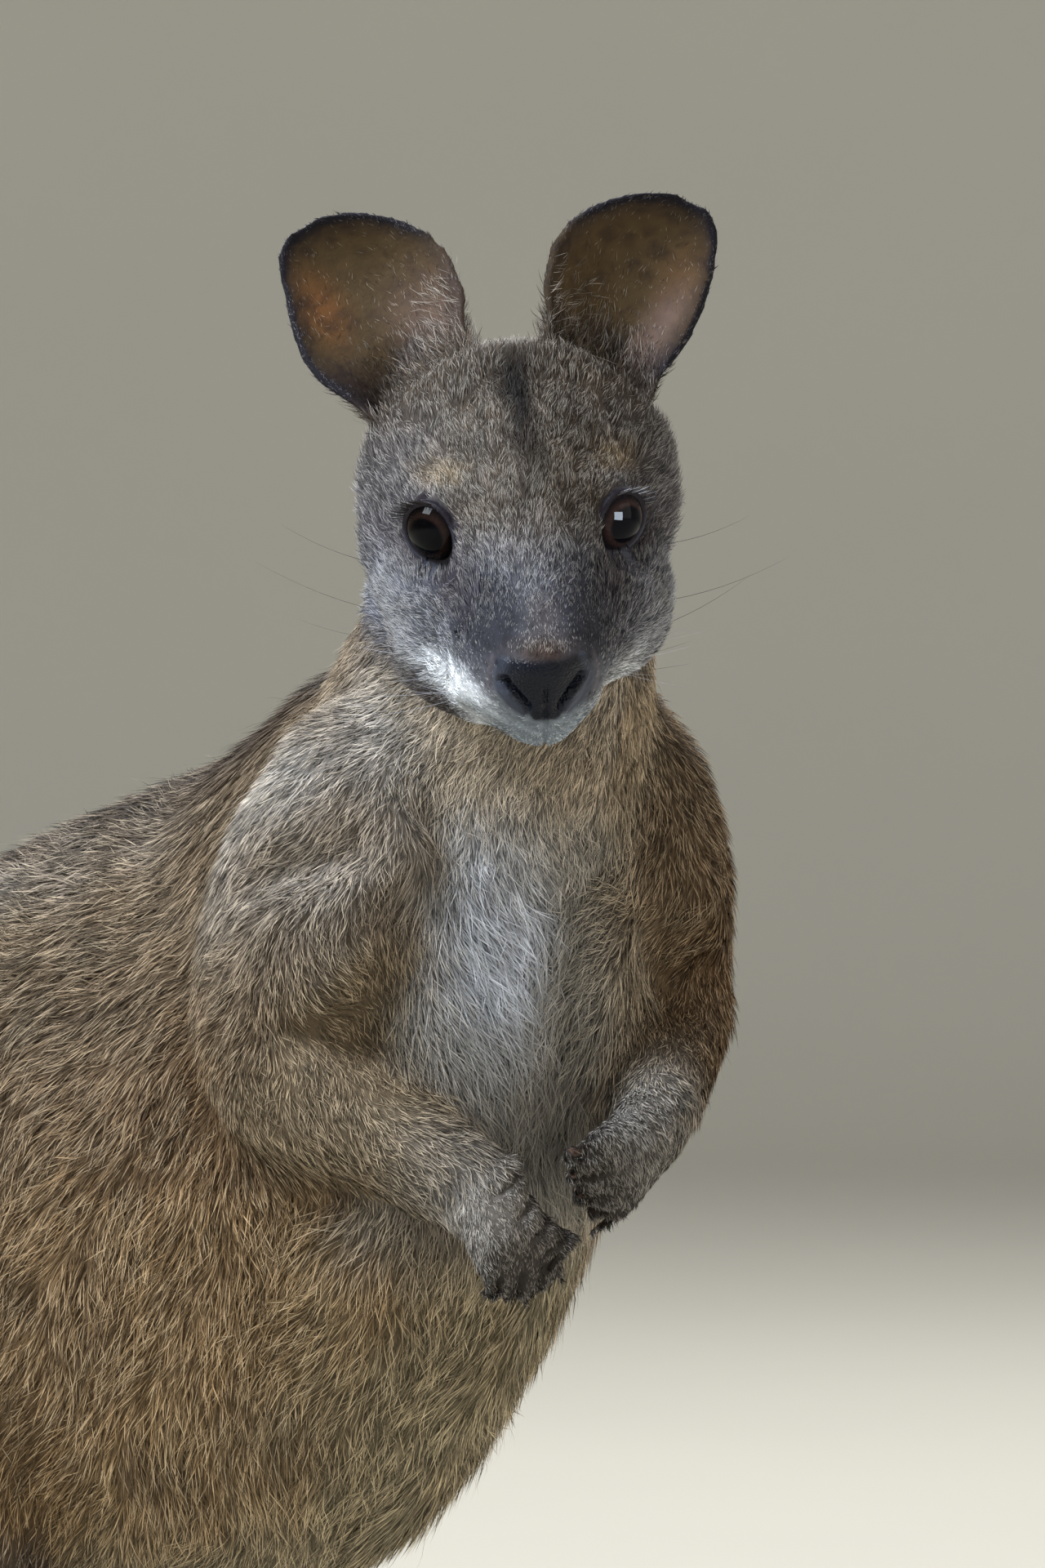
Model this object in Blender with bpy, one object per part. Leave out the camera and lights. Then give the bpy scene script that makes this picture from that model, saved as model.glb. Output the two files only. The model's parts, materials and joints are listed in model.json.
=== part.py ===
"""A parma wallaby, life size, as a still museum model.

It stands on both hind feet and its tail, hands together before the belly, with the
chest and then the head turned to its own right.  The animal faces -Y with +Z up.  The
body is shaped whole, as lofts fused into one smooth form out to the tips of the coat,
and is then parted with thin cuts into the parts a person would name.
"""

import math

import bmesh
import bpy
from mathutils import Matrix, Vector

MM = 0.001

# ---- driving dimensions, in millimetres and degrees -------------------------------

GAP = 0.3  # clear space left by every cut
CHEST_TURN = 17.0  # the chest looks this far to the animal's right of the hips
HEAD_TURN = 41.0  # and the head this far
HEAD_PITCH = 40.0  # slope of the bridge of the nose
HEAD_ROLL = 3.2  # the left eye rides higher than the right
CHEST_FRONT = (-16.0, 0.0, 0.0)  # breastbone, straight above the floor
BROW = (-32.6, -8.8, 356.0)  # middle of the line between the two eyes

EYE_RADIUS = 9.3
EYE_SIDE = 19.0  # eye centres from the middle of the head
EYE_OPENING = 7.6  # half the height of the open lids
EAR_LENGTH = 50.0
EAR_HALF_WIDTH = 18.6
EAR_BULGE = 4.0  # the inner edge swells further than the outer
EAR_TIP_OUT = 5.0  # and the tip leans outwards
EAR_THICKNESS = 2.4
EAR_ROOT = -0.2  # the ear is rooted this share of its length inside the head
EAR_END = 0.992
EAR_GRID = (10, 6)  # rows along the ear and strips across it

FUSE_VOXEL = 1.7  # grain at which the lofts are fused
FUSE_SMOOTHING = 9
CUTTER_VOXEL = 2.0
SOCKET_VOXEL = 0.5
ARM_TOOL_TRIANGLES = 170
THIGH_TOOL_TRIANGLES = 110
LEG_TOOL_TRIANGLES = 240
SOCKET_TRIANGLES = 150
BODY_TRIANGLES = 2150
HEAD_TRIANGLES = 880
LIMB_MARGIN = 2.5  # the cut round a limb lies this far outside its loft

RING_SIDES = 20
LIMB_SIDES = 14
SPAN_STEPS = 3  # rings made between two stations

# ---- stations -----------------------------------------------------------------------

# Trunk and neck: back line (y, z), belly line (y, z), half width, sideways shift.
TRUNK = (
    (44, 318, 10, 296, 22, 2),
    (62, 328, 0, 268, 38, 1),
    (86, 328, -3, 238, 46, 0),
    (110, 318, 0, 206, 49, 0),
    (138, 303, 10, 178, 52, 2),
    (167, 293, 26, 150, 56, 5),
    (196, 282, 46, 122, 59, 8),
    (224, 269, 70, 96, 61, 10),
    (252, 251, 106, 78, 61, 12),
    (279, 228, 150, 73, 59, 14),
    (300, 202, 198, 80, 54, 15),
    (314, 176, 240, 94, 44, 16),
    (320, 152, 272, 114, 30, 16),
)
NECK = (
    (92, 310, 6, 248, 42, 0),
    (82, 330, -3, 276, 41.5, 2),
    (67, 349, -9, 301, 37.5, 4),
    (53, 366, -12, 322, 33.5, 4),
    (42, 380, -12, 336, 29, 3),
    (34, 388, -10, 345, 20, 2),
)

# Head, along the line from nape to nose tip: distance ahead of the eyes, top line,
# jaw line, half width, how much narrower the top is than the jaw.
HEAD = (
    (-65, 4, -24, 13, 0.0),
    (-58, 15, -33, 25, 0.0),
    (-48, 26, -40, 34, 0.02),
    (-36, 29.5, -43, 39, 0.05),
    (-24, 27.5, -43, 40, 0.08),
    (-12, 25.5, -42, 36.5, 0.13),
    (-2, 23, -40.5, 31, 0.18),
    (8, 20.5, -38.5, 27, 0.18),
    (20, 17.5, -36.5, 23.5, 0.15),
    (32, 14.5, -33.5, 21, 0.10),
    (43, 11.5, -30.5, 18.5, 0.06),
    (51, 8.5, -26, 15, 0.02),
    (56, 4, -18, 9.5, 0.0),
)

# Limbs: place (side, back, up), half width across, half width fore and aft.
ARM_RIGHT = (
    (-28, 50, 298, 21, 28),
    (-40, 43, 282, 22, 37),
    (-49, 44, 258, 20.5, 37),
    (-55, 48, 236, 18, 30),
    (-56, 42, 222, 17, 23),
    (-47, 25, 212, 15, 18),
    (-34, 6, 203, 11.5, 13),
    (-21, -9, 194, 9, 9.5),
)
ARM_LEFT = (
    (28, 50, 300, 21, 28),
    (40, 41, 288, 22, 37),
    (49, 42, 266, 20.5, 36),
    (55, 46, 247, 18, 29),
    (56, 40, 234, 16.5, 22),
    (47, 24, 225, 14.5, 17),
    (34, 5, 217, 11.5, 13),
    (23, -11, 209, 9, 9.5),
)
THIGH = (
    (34, 262, 206, 26, 42),
    (43, 238, 184, 29, 52),
    (50, 208, 156, 29, 54),
    (54, 180, 130, 26, 45),
    (55, 162, 112, 23, 34),
)
SHANK = (
    (55, 166, 108, 22, 33),
    (54, 188, 90, 20.5, 31),
    (51, 216, 67, 17, 24),
    (48, 243, 44, 13.5, 17),
    (47, 263, 27, 12, 14.5),
    (46, 271, 15, 12, 13),
)
FOOT = (
    (46, 280, 10.5, 10.5, 10.5),
    (46, 264, 13, 12, 14.5),
    (47, 236, 11.5, 12, 13),
    (48.5, 204, 10, 13, 11.5),
    (50, 182, 9, 14, 10.5),
    (51, 166, 7.5, 11, 9),
)
# Toes: place of root, place of tip, half width at root and at tip.
TOES = (
    ((51, 176, 7.5), (53, 143, 5.0), 8.0, 6.0),
    ((60, 184, 6.8), (64, 159, 4.2), 6.2, 4.4),
    ((41.5, 182, 7.8), (41, 158, 4.8), 4.6, 3.4),
)
TOE_CLAWS = ((14, 2.6), (10, 2.0), (9, 1.5))  # length and half width of each

TAIL = (
    (0, 282, 172, 27, 36),
    (0, 312, 150, 25.5, 31),
    (1, 344, 120, 23, 25.5),
    (4, 380, 84, 20, 21),
    (8, 422, 50, 17, 17.5),
    (11, 466, 26, 15, 15),
    (11, 514, 14, 13.5, 13.5),
    (7, 566, 9.6, 12, 12),
    (-2, 622, 7.8, 10.5, 10.5),
    (-13, 676, 6.2, 9, 9),
    (-24, 722, 4.6, 7, 7),
    (-30, 744, 3.6, 4.2, 4.2),
)

# Hands: wrist, knuckles and finger tips, and the way from the thumb to the fifth finger.
HANDS = {
    "right": ((-21, -9, 194), (-18, -17, 180), (-14.5, -20, 166), (-0.93, -0.30, -0.12)),
    "left": ((23, -11, 209), (8, -16, 199), (-4, -17, 191), (0.35, 0.25, -0.90)),
}
FINGER_RADIUS = 3.3
FINGER_CLAW = (4.6, 1.2)  # length and half width; the claws curl in under the palm

# Where the cuts pass: a point and the way square to the cut.
HEAD_CUT = ((0, 46, -19), (0, -0.447, 0.895))
NECK_CUT = ((0, 41, 296), (0, -58, 86))
CHEST_CUT = ((0, 77, 242), (0, -120, 126))
ANKLE = (46, 262, 26)
ANKLE_SLOPE = (0, 0.35, 1.0)
TAIL_CUTS = (1, 5, 8)  # stations of the tail

# ---- colours: base colour, roughness ------------------------------------------------

COAT = ((0.23, 0.17, 0.12), 0.9)
COAT_HEAD = ((0.24, 0.21, 0.19), 0.9)
COAT_PALE = ((0.45, 0.42, 0.38), 0.9)
COAT_DARK = ((0.10, 0.08, 0.07), 0.85)
EAR_SKIN = ((0.32, 0.15, 0.08), 0.7)
EYE_GLOSS = ((0.012, 0.007, 0.005), 0.08)
NOSE_SKIN = ((0.015, 0.018, 0.026), 0.4)


# ---- frames -------------------------------------------------------------------------


def turned_frame(origin, turn, roll=0.0):
    """A frame at origin whose front is turned to the animal's right."""
    place = Matrix.Translation(Vector(origin))
    yaw = Matrix.Rotation(-math.radians(turn), 4, "Z")
    return place @ yaw @ Matrix.Rotation(-math.radians(roll), 4, "Y")


HIPS = Matrix.Identity(4)
CHEST = turned_frame(CHEST_FRONT, CHEST_TURN)
SKULL = turned_frame(BROW, HEAD_TURN, HEAD_ROLL)


def skull_point(side, ahead, above):
    """A point of the head: to its left, along the nose line, square above that line."""
    pitch = math.radians(HEAD_PITCH)
    front = ahead * math.cos(pitch) + above * math.sin(pitch)
    rise = above * math.cos(pitch) - ahead * math.sin(pitch)
    return SKULL @ Vector((side, -front, rise))


def skull_way(side, ahead, above):
    """A direction in the head's own frame."""
    return (skull_point(side, ahead, above) - skull_point(0, 0, 0)).normalized()


# ---- lofts --------------------------------------------------------------------------


def eased(rows, steps=SPAN_STEPS):
    """Rows of numbers with more rows between them, on a smooth curve through them."""
    out = []
    last = len(rows) - 1
    for k in range(last):
        before, here, there, after = (rows[min(max(k + j, 0), last)] for j in (-1, 0, 1, 2))
        for step in range(steps):
            t = step / steps
            row = []
            for a, b, c, d in zip(before, here, there, after):
                bend = 2 * a - 5 * b + 4 * c - d
                swing = 3 * b - a - 3 * c + d
                row.append(0.5 * (2 * b + (c - a) * t + bend * t * t + swing * t**3))
            out.append(row)
    out.append(list(rows[last]))
    return out


def ring(centre, side, up, sides, narrow=0.0, full=1.0):
    """Points round an oval; narrow draws its top in, and full under 1 squares it."""
    points = []
    for k in range(sides):
        angle = 2 * math.pi * k / sides
        across = math.copysign(abs(math.cos(angle)) ** full, math.cos(angle))
        rise = math.copysign(abs(math.sin(angle)) ** full, math.sin(angle))
        points.append(centre + side * (across * (1 - narrow * rise)) + up * rise)
    return points


def add_loft(bm, rings, dome=0.5):
    """Skins the rings into bm, with a low dome on each end."""
    loops = [[bm.verts.new(point * MM) for point in points] for points in rings]
    sides = len(loops[0])
    for low, high in zip(loops, loops[1:]):
        for k in range(sides):
            j = (k + 1) % sides
            bm.faces.new((low[k], low[j], high[j], high[k]))
    for loop, points, inner in ((loops[0], rings[0], rings[1]), (loops[-1], rings[-1], rings[-2])):
        centre = sum(points, Vector()) / sides
        way = (centre - sum(inner, Vector()) / sides).normalized()
        radius = sum((point - centre).length for point in points) / sides
        pole = bm.verts.new((centre + way * radius * dome) * MM)
        for k in range(sides):
            bm.faces.new((loop[k], loop[(k + 1) % sides], pole))


def profile_rings(frame, stations):
    """Rings between a back line and a belly line."""
    rings = []
    for back_y, back_z, belly_y, belly_z, half, shift in eased(stations):
        top = frame @ Vector((shift, back_y, back_z))
        bottom = frame @ Vector((shift, belly_y, belly_z))
        side = frame.to_3x3() @ Vector((half, 0, 0))
        rings.append(ring((top + bottom) / 2, side, (top - bottom) / 2, RING_SIDES))
    return rings


def head_rings():
    rings = []
    for ahead, above, below, half, narrow in eased(HEAD):
        top = skull_point(0, ahead, above)
        bottom = skull_point(0, ahead, below)
        side = skull_way(1, 0, 0) * half
        rings.append(ring((top + bottom) / 2, side, (top - bottom) / 2, 24, narrow, 0.92))
    return rings


def limb_rings(frame, stations, mirror, margin):
    """Rings square to a limb's own line."""
    rows = eased(stations)
    places = [frame @ Vector((mirror * row[0], row[1], row[2])) for row in rows]
    reference = frame.to_3x3() @ Vector((1, 0, 0))
    rings = []
    for k, row in enumerate(rows):
        way = (places[min(k + 1, len(rows) - 1)] - places[max(k - 1, 0)]).normalized()
        side = (reference - way * reference.dot(way)).normalized()
        fore = way.cross(side)
        wide, deep = row[3] + margin, row[4] + margin
        rings.append(ring(places[k], side * wide, fore * deep, LIMB_SIDES))
    return rings


def add_limb(bm, frame, stations, mirror=1, margin=0.0):
    add_loft(bm, limb_rings(frame, stations, mirror, margin), 0.6)


def add_taper(bm, root, tip, root_half, tip_half, sag=0.0, sides=10, steps=4):
    """A finger, toe or claw: a tapered stem that may arch."""
    root, tip = Vector(root), Vector(tip)
    way = (tip - root).normalized()
    side = way.cross(Vector((0, 0, 1)))
    if side.length < 0.2:
        side = way.cross(Vector((0, 1, 0)))
    side.normalize()
    up = side.cross(way)
    rings = []
    for step in range(steps + 1):
        t = step / steps
        centre = root.lerp(tip, t) + up * (sag * math.sin(math.pi * t))
        half = root_half + (tip_half - root_half) * t
        rings.append(ring(centre, side * half, up * half, sides))
    add_loft(bm, rings, 0.8)


def add_ball(bm, centre, radii, axes, detail=3):
    """An ellipsoid; axes are its three own directions."""
    turn = Matrix((axes[0], axes[1], axes[2])).transposed().to_4x4()
    size = Matrix.Diagonal((radii[0] * MM, radii[1] * MM, radii[2] * MM, 1))
    place = Matrix.Translation(Vector(centre) * MM) @ turn @ size
    bmesh.ops.create_icosphere(bm, subdivisions=detail, radius=1.0, matrix=place)


# ---- the forms that are fused -------------------------------------------------------


def hips_rings():
    """The trunk runs from the turned chest back to the straight hips."""
    rings = []
    rows = eased(TRUNK)
    for k, row in enumerate(rows):
        back_y, back_z, belly_y, belly_z, half, shift = row
        ease = min(max((k / (len(rows) - 1) - 0.15) / 0.5, 0.0), 1.0)
        ease = ease * ease * (3 - 2 * ease)
        turn = CHEST_TURN * (1 - ease)
        frame = turned_frame(CHEST_FRONT, turn)
        side = frame.to_3x3() @ Vector((half, 0, 0))
        top = frame @ Vector((shift, back_y, back_z))
        bottom = frame @ Vector((shift, belly_y, belly_z))
        rings.append(ring((top + bottom) / 2, side, (top - bottom) / 2, RING_SIDES, 0.10))
    return rings


def add_trunk(bm):
    add_loft(bm, hips_rings())
    add_loft(bm, profile_rings(CHEST, NECK))


def add_head(bm):
    add_loft(bm, head_rings(), 0.35)
    axes = (skull_way(1, 0, 0), skull_way(0, 1, 0), skull_way(0, 0, 1))
    for side in (-1, 1):
        add_ball(bm, skull_point(side * 18, 2, -20), (17.5, 28, 20), axes)  # jowl
        add_ball(bm, skull_point(side * 16, 0, 10), (10, 15, 6.5), axes)  # brow
        add_ball(bm, skull_point(side * 10, 42, -13), (10, 13, 10), axes)  # lip pad
        add_ball(bm, skull_point(side * 21, -42, 15), (12, 13, 11), axes)  # root of the ear
    add_ball(bm, skull_point(0, 51, 0), (11.5, 7.5, 9.5), axes)  # nose
    add_ball(bm, skull_point(0, 40, -24), (11, 9, 7.5), axes)  # chin


def add_hand(bm, side):
    wrist, knuckles, tips, across = (Vector(v) for v in HANDS[side])
    wrist, knuckles, tips = (CHEST @ v for v in (wrist, knuckles, tips))
    across = (CHEST.to_3x3() @ across).normalized()
    palm = []
    for place, wide, deep in (
        (wrist, 9, 8.5),
        (wrist.lerp(knuckles, 0.5), 10, 7.8),
        (knuckles, 10.8, 7.2),
    ):
        way = (knuckles - wrist).normalized()
        side_way = (across - way * across.dot(way)).normalized()
        palm.append(ring(place, side_way * wide, way.cross(side_way) * deep, 12))
    add_loft(bm, palm, 0.6)
    reach = tips - knuckles
    side_way = (across - reach.normalized() * across.dot(reach.normalized())).normalized()
    for k in range(5):
        offset = side_way * (k - 2) * 4.7
        spread = side_way * (k - 2) * 0.5
        length = 1.0 - 0.07 * abs(k - 2.3)
        root = knuckles - reach.normalized() * 3 + offset
        tip = knuckles + reach * length * 0.92 + offset + spread
        add_taper(bm, root, tip, FINGER_RADIUS, FINGER_RADIUS * 0.8)


def finger_claws(bm, side):
    wrist, knuckles, tips, across = (Vector(v) for v in HANDS[side])
    knuckles, tips, wrist = CHEST @ knuckles, CHEST @ tips, CHEST @ wrist
    across = (CHEST.to_3x3() @ across).normalized()
    reach = tips - knuckles
    way = reach.normalized()
    side_way = (across - way * across.dot(way)).normalized()
    inward = way.cross(side_way)
    if inward.dot(CHEST.to_3x3() @ Vector((0, 1, 0))) < 0:
        inward = -inward
    for k in range(5):
        offset = side_way * (k - 2) * 5.2
        length = 1.0 - 0.07 * abs(k - 2.3)
        root = knuckles + reach * length * 0.85 + offset + inward * 0.8
        tip = root + (way * 0.40 + inward * 0.92).normalized() * FINGER_CLAW[0]
        add_taper(bm, root, tip, FINGER_CLAW[1], 0.35, 0.3, 5, 2)


def add_foot(bm, mirror, margin=0.0):
    add_limb(bm, HIPS, FOOT, mirror, margin)
    for root, tip, root_half, tip_half in TOES:
        root = Vector((root[0] * mirror, root[1], root[2]))
        tip = Vector((tip[0] * mirror, tip[1], tip[2]))
        add_taper(bm, root, tip, root_half + margin, tip_half + margin, 1.0)


def add_toe_claws(bm, mirror):
    for (root, tip, root_half, tip_half), (length, half) in zip(TOES, TOE_CLAWS):
        root = Vector((root[0] * mirror, root[1], root[2]))
        tip = Vector((tip[0] * mirror, tip[1], tip[2] + 1.0))
        way = (tip - root).normalized()
        start = tip + Vector((0, 2, 1.2))
        end = start + Vector((way.x, way.y, -0.16)).normalized() * length
        end.z = max(end.z, 0.9)
        add_taper(bm, start, end, half, 0.7, 1.0, 6, 3)


# ---- meshes -------------------------------------------------------------------------


def mesh_from(bm, name):
    bmesh.ops.recalc_face_normals(bm, faces=bm.faces[:])
    mesh = bpy.data.meshes.new(name)
    bm.to_mesh(mesh)
    bm.free()
    return mesh


def make_guide(bm, name):
    """An object used only to shape others."""
    obj = bpy.data.objects.new(name, mesh_from(bm, name))
    bpy.context.scene.collection.objects.link(obj)
    obj.hide_render = True
    obj.display_type = "WIRE"
    return obj


def evaluated(obj):
    """The object's mesh with its modifiers worked in."""
    graph = bpy.context.evaluated_depsgraph_get()
    return bpy.data.meshes.new_from_object(obj.evaluated_get(graph))


def settle(obj):
    mesh = evaluated(obj)
    obj.modifiers.clear()
    obj.data = mesh


def fuse(bm, name, voxel=FUSE_VOXEL, smoothing=FUSE_SMOOTHING):
    """Lofts grown together into one smooth form."""
    obj = make_guide(bm, name)
    remesh = obj.modifiers.new("grown_together", "REMESH")
    remesh.mode = "VOXEL"
    remesh.voxel_size = voxel * MM
    smooth = obj.modifiers.new("eased", "SMOOTH")
    smooth.factor = 0.5
    smooth.iterations = smoothing
    settle(obj)
    return obj


def thin_out(obj, triangles):
    """The same form in fewer triangles."""
    total = sum(len(face.vertices) - 2 for face in obj.data.polygons)
    decimate = obj.modifiers.new("thinned", "DECIMATE")
    decimate.ratio = triangles / total
    decimate.use_collapse_triangulate = True
    settle(obj)


def boolean(obj, tool, operation, folded=False):
    step = obj.modifiers.new("cut", "BOOLEAN")
    step.object = tool
    step.operation = operation
    step.solver = "EXACT"
    step.use_self = folded
    settle(obj)


def duplicate(obj, name):
    copy = bpy.data.objects.new(name, obj.data.copy())
    bpy.context.scene.collection.objects.link(copy)
    return copy


def halved(obj, point, normal, name):
    """What lies on the normal's side of a plane, closed over the cut."""
    piece = duplicate(obj, name)
    bm = bmesh.new()
    bm.from_mesh(piece.data)
    every = bm.verts[:] + bm.edges[:] + bm.faces[:]
    bmesh.ops.bisect_plane(
        bm, geom=every, plane_co=point * MM, plane_no=normal, clear_inner=True, dist=1e-7
    )
    rim = [edge for edge in bm.edges if edge.is_boundary]
    bmesh.ops.holes_fill(bm, edges=rim, sides=0)
    bm.to_mesh(piece.data)
    bm.free()
    return piece


def parted(obj, point, normal, near_name, far_name):
    """The object as two, either side of a plane, with a thin gap between them."""
    point, normal = Vector(point), Vector(normal).normalized()
    half_gap = normal * (GAP / 2)
    near = halved(obj, point + half_gap, normal, near_name)
    far = halved(obj, point - half_gap, -normal, far_name)
    bpy.data.objects.remove(obj)
    return near, far


def largest_body(obj):
    """Drops crumbs that a cut left beside the main body."""
    bm = bmesh.new()
    bm.from_mesh(obj.data)
    bm.verts.ensure_lookup_table()
    unseen = set(range(len(bm.verts)))
    bodies = []
    while unseen:
        stack = [unseen.pop()]
        body = []
        while stack:
            index = stack.pop()
            body.append(index)
            for edge in bm.verts[index].link_edges:
                other = edge.other_vert(bm.verts[index]).index
                if other in unseen:
                    unseen.remove(other)
                    stack.append(other)
        bodies.append(body)
    bodies.sort(key=len)
    crumbs = [bm.verts[index] for body in bodies[:-1] for index in body]
    bmesh.ops.delete(bm, geom=crumbs, context="VERTS")
    bm.to_mesh(obj.data)
    bm.free()


def swollen(tool, reach=GAP * 1.15):
    """A copy of a cutter, larger all round by a little more than the gap."""
    copy = duplicate(tool, tool.name + "_swollen")
    ways = [vertex.normal.copy() for vertex in copy.data.vertices]
    for vertex, way in zip(copy.data.vertices, ways):
        vertex.co += way * (reach * MM)
    return copy


def carve(whole, build_tool, name):
    """Takes the part of whole inside a tool out of it, with a thin gap all round."""
    bm = bmesh.new()
    build_tool(bm)
    tool = make_guide(bm, name + "_cutter")
    wider = swollen(tool)
    piece = duplicate(whole, name)
    boolean(piece, tool, "INTERSECT")
    boolean(whole, wider, "DIFFERENCE", folded=True)
    bpy.data.objects.remove(tool)
    bpy.data.objects.remove(wider)
    largest_body(piece)
    return piece


# ---- ears and eyes ------------------------------------------------------------------

EARS = {
    # root, ahead and above in the frame of the brow; lean outwards; opening's turn out
    "right": (-23.0, -24.0, 35.0, 27.0, 6.0),
    "left": (20.5, -24.0, 36.0, 27.0, 8.0),
}


def ear_half_width(u):
    """Half the ear's width at a share u of its length: a narrow root, a broad round tip."""
    body = 0.60 + 0.40 * math.sin(min(max(u, 0.0) / 0.62, 1.0) * math.pi / 2)
    tip = math.sqrt(max(1.0 - (max(u - 0.55, 0.0) / 0.45) ** 2.0, 0.0))
    return EAR_HALF_WIDTH * body * tip


def ear_surface(frame, u, v, share, inner):
    """A point on the cupped ear; v runs across it, and inner is the way to the crown."""
    cup = math.radians(78 - 46 * min(u * 1.25, 1.0))
    half = max(ear_half_width(u), 0.6)
    radius = half / math.sin(cup)
    angle = v * cup
    swell = EAR_BULGE * math.sin(math.pi * max(u, 0.0) ** 0.8)
    across = radius * math.sin(angle) + inner * (swell - EAR_TIP_OUT * max(u, 0.0) ** 3)
    forward = radius * (1 - math.cos(angle)) - 0.35 * half
    lean_back = -7.0 * math.sin(u * math.pi / 2) + 5.0 * u * u
    point = Vector((across, forward + lean_back, u * EAR_LENGTH))
    outward = Vector((math.sin(angle), -math.cos(angle), 0.0))
    thin = EAR_THICKNESS * (1 - 0.35 * u)
    return frame @ (point + outward * (thin * share))


def ear_frame(side):
    root_side, front, rise, lean, turn_out = EARS[side]
    sign = 1 if side == "left" else -1
    root = SKULL @ Vector((root_side, -front, rise))
    lean_turn = Matrix.Rotation(math.radians(lean) * sign, 4, "Y")
    facing = Matrix.Rotation(math.radians(180 + turn_out * sign), 4, "Z")
    tip_back = Matrix.Rotation(math.radians(-8), 4, "X")
    turned = SKULL.to_3x3().to_4x4()
    return Matrix.Translation(root) @ turned @ lean_turn @ tip_back @ facing


def add_ear(bm, side):
    """A cupped leaf of even thickness, closed round its rim."""
    frame = ear_frame(side)
    inner_way = 1 if side == "left" else -1
    rows, columns = EAR_GRID
    shares = [k / (rows - 1) for k in range(rows)]
    lengths = [EAR_ROOT + (EAR_END - EAR_ROOT) * math.sin(t * math.pi / 2) ** 0.8 for t in shares]
    sheets = []
    for share in (0.0, 1.0):
        sheet = []
        for u in lengths:
            line = []
            for k in range(columns + 1):
                v = -1 + 2 * k / columns
                point = ear_surface(frame, u, v, share, inner_way)
                line.append(bm.verts.new(point * MM))
            sheet.append(line)
        sheets.append(sheet)
    inner, outer = sheets
    for i in range(rows - 1):
        for k in range(columns):
            bm.faces.new((inner[i][k], inner[i][k + 1], inner[i + 1][k + 1], inner[i + 1][k]))
            bm.faces.new((outer[i][k], outer[i + 1][k], outer[i + 1][k + 1], outer[i][k + 1]))
        for k in (0, columns):
            bm.faces.new((inner[i][k], inner[i + 1][k], outer[i + 1][k], outer[i][k]))
    for i in (0, rows - 1):
        for k in range(columns):
            bm.faces.new((inner[i][k], outer[i][k], outer[i][k + 1], inner[i][k + 1]))


def nose_region(bm):
    axes = (skull_way(1, 0, 0), skull_way(0, 1, 0), skull_way(0, 0, 1))
    add_ball(bm, skull_point(0, 58, 0), (14.0, 9.0, 9.5), axes, 2)


def eye_place(side):
    sign = 1 if side == "left" else -1
    return skull_point(sign * EYE_SIDE, 2.0, 1.5)


def eye_gaze(side):
    sign = 1 if side == "left" else -1
    return skull_way(sign * 0.58, 0.78, 0.20)


def eye_axes(side):
    gaze = eye_gaze(side)
    across = gaze.cross(skull_way(0, -0.2, 1)).normalized()
    return across, gaze.cross(across).normalized(), gaze


def add_eye(bm, side, margin):
    radius = EYE_RADIUS + margin
    add_ball(bm, eye_place(side), (radius, radius, radius), eye_axes(side))


def eye_socket(side):
    """The eyeball's hollow, open through the lids."""
    bm = bmesh.new()
    add_eye(bm, side, GAP * 2)
    across, upright, gaze = eye_axes(side)
    rings = []
    for reach, wide in ((3.5, 1.0), (9.5, 1.04), (20.0, 1.5)):
        centre = eye_place(side) + gaze * reach
        half = EYE_OPENING * wide
        rings.append(ring(centre, across * half, upright * half * 0.93, 18))
    add_loft(bm, rings, 0.0)
    return bm


# ---- the whole animal ---------------------------------------------------------------


def add_whole_body(bm):
    add_trunk(bm)
    add_head(bm)
    add_limb(bm, CHEST, ARM_RIGHT)
    add_limb(bm, CHEST, ARM_LEFT)
    for side in HANDS:
        add_hand(bm, side)
    for mirror in (-1, 1):
        add_limb(bm, HIPS, THIGH, mirror)
        add_limb(bm, HIPS, SHANK, mirror)
        add_foot(bm, mirror)
    add_limb(bm, HIPS, TAIL)


def hand_region(bm, side):
    wrist, knuckles, tips, across = (Vector(v) for v in HANDS[side])
    wrist, knuckles, tips = CHEST @ wrist, CHEST @ knuckles, CHEST @ tips
    across = (CHEST.to_3x3() @ across).normalized()
    rings = []
    way = (tips - wrist).normalized()
    for place, wide in ((wrist, 9), (knuckles, 15), (tips + way * 5, 16)):
        side_way = (across - way * across.dot(way)).normalized()
        deep = way.cross(side_way)
        wide, thick = wide + LIMB_MARGIN, 9 + LIMB_MARGIN
        rings.append(ring(place, side_way * wide, deep * thick, 10, 0, 0.7))
    add_loft(bm, rings, 0.4)


def material(name, finish):
    made = bpy.data.materials.new(name)
    made.use_nodes = True
    shader = made.node_tree.nodes["Principled BSDF"]
    shader.inputs["Base Color"].default_value = (*finish[0], 1.0)
    shader.inputs["Roughness"].default_value = finish[1]
    return made


def finish_piece(obj, name, finish):
    obj.name = name
    obj.data.name = name
    obj.data.materials.clear()
    obj.data.materials.append(material(name + "_finish", finish))
    obj.data.shade_smooth()
    obj.hide_render = False
    obj.display_type = "TEXTURED"


def thinned_half(whole, point, normal, triangles, name):
    """One side of the fine form, thinned and then cut clean on the plane."""
    point, normal = Vector(point), Vector(normal).normalized()
    rough = halved(whole, point - normal * 8, normal, name)
    thin_out(rough, triangles)
    clean = halved(rough, point + normal * (GAP / 2), normal, name)
    bpy.data.objects.remove(rough)
    return clean


def add_part(pieces, obj, name, finish):
    largest_body(obj)
    finish_piece(obj, name, finish)
    pieces.append(obj)


def grow_on(obj, bm):
    """Unites small things such as claws with the piece that they grow from."""
    tool = make_guide(bm, "grown")
    boolean(obj, tool, "UNION")
    bpy.data.objects.remove(tool)


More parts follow.
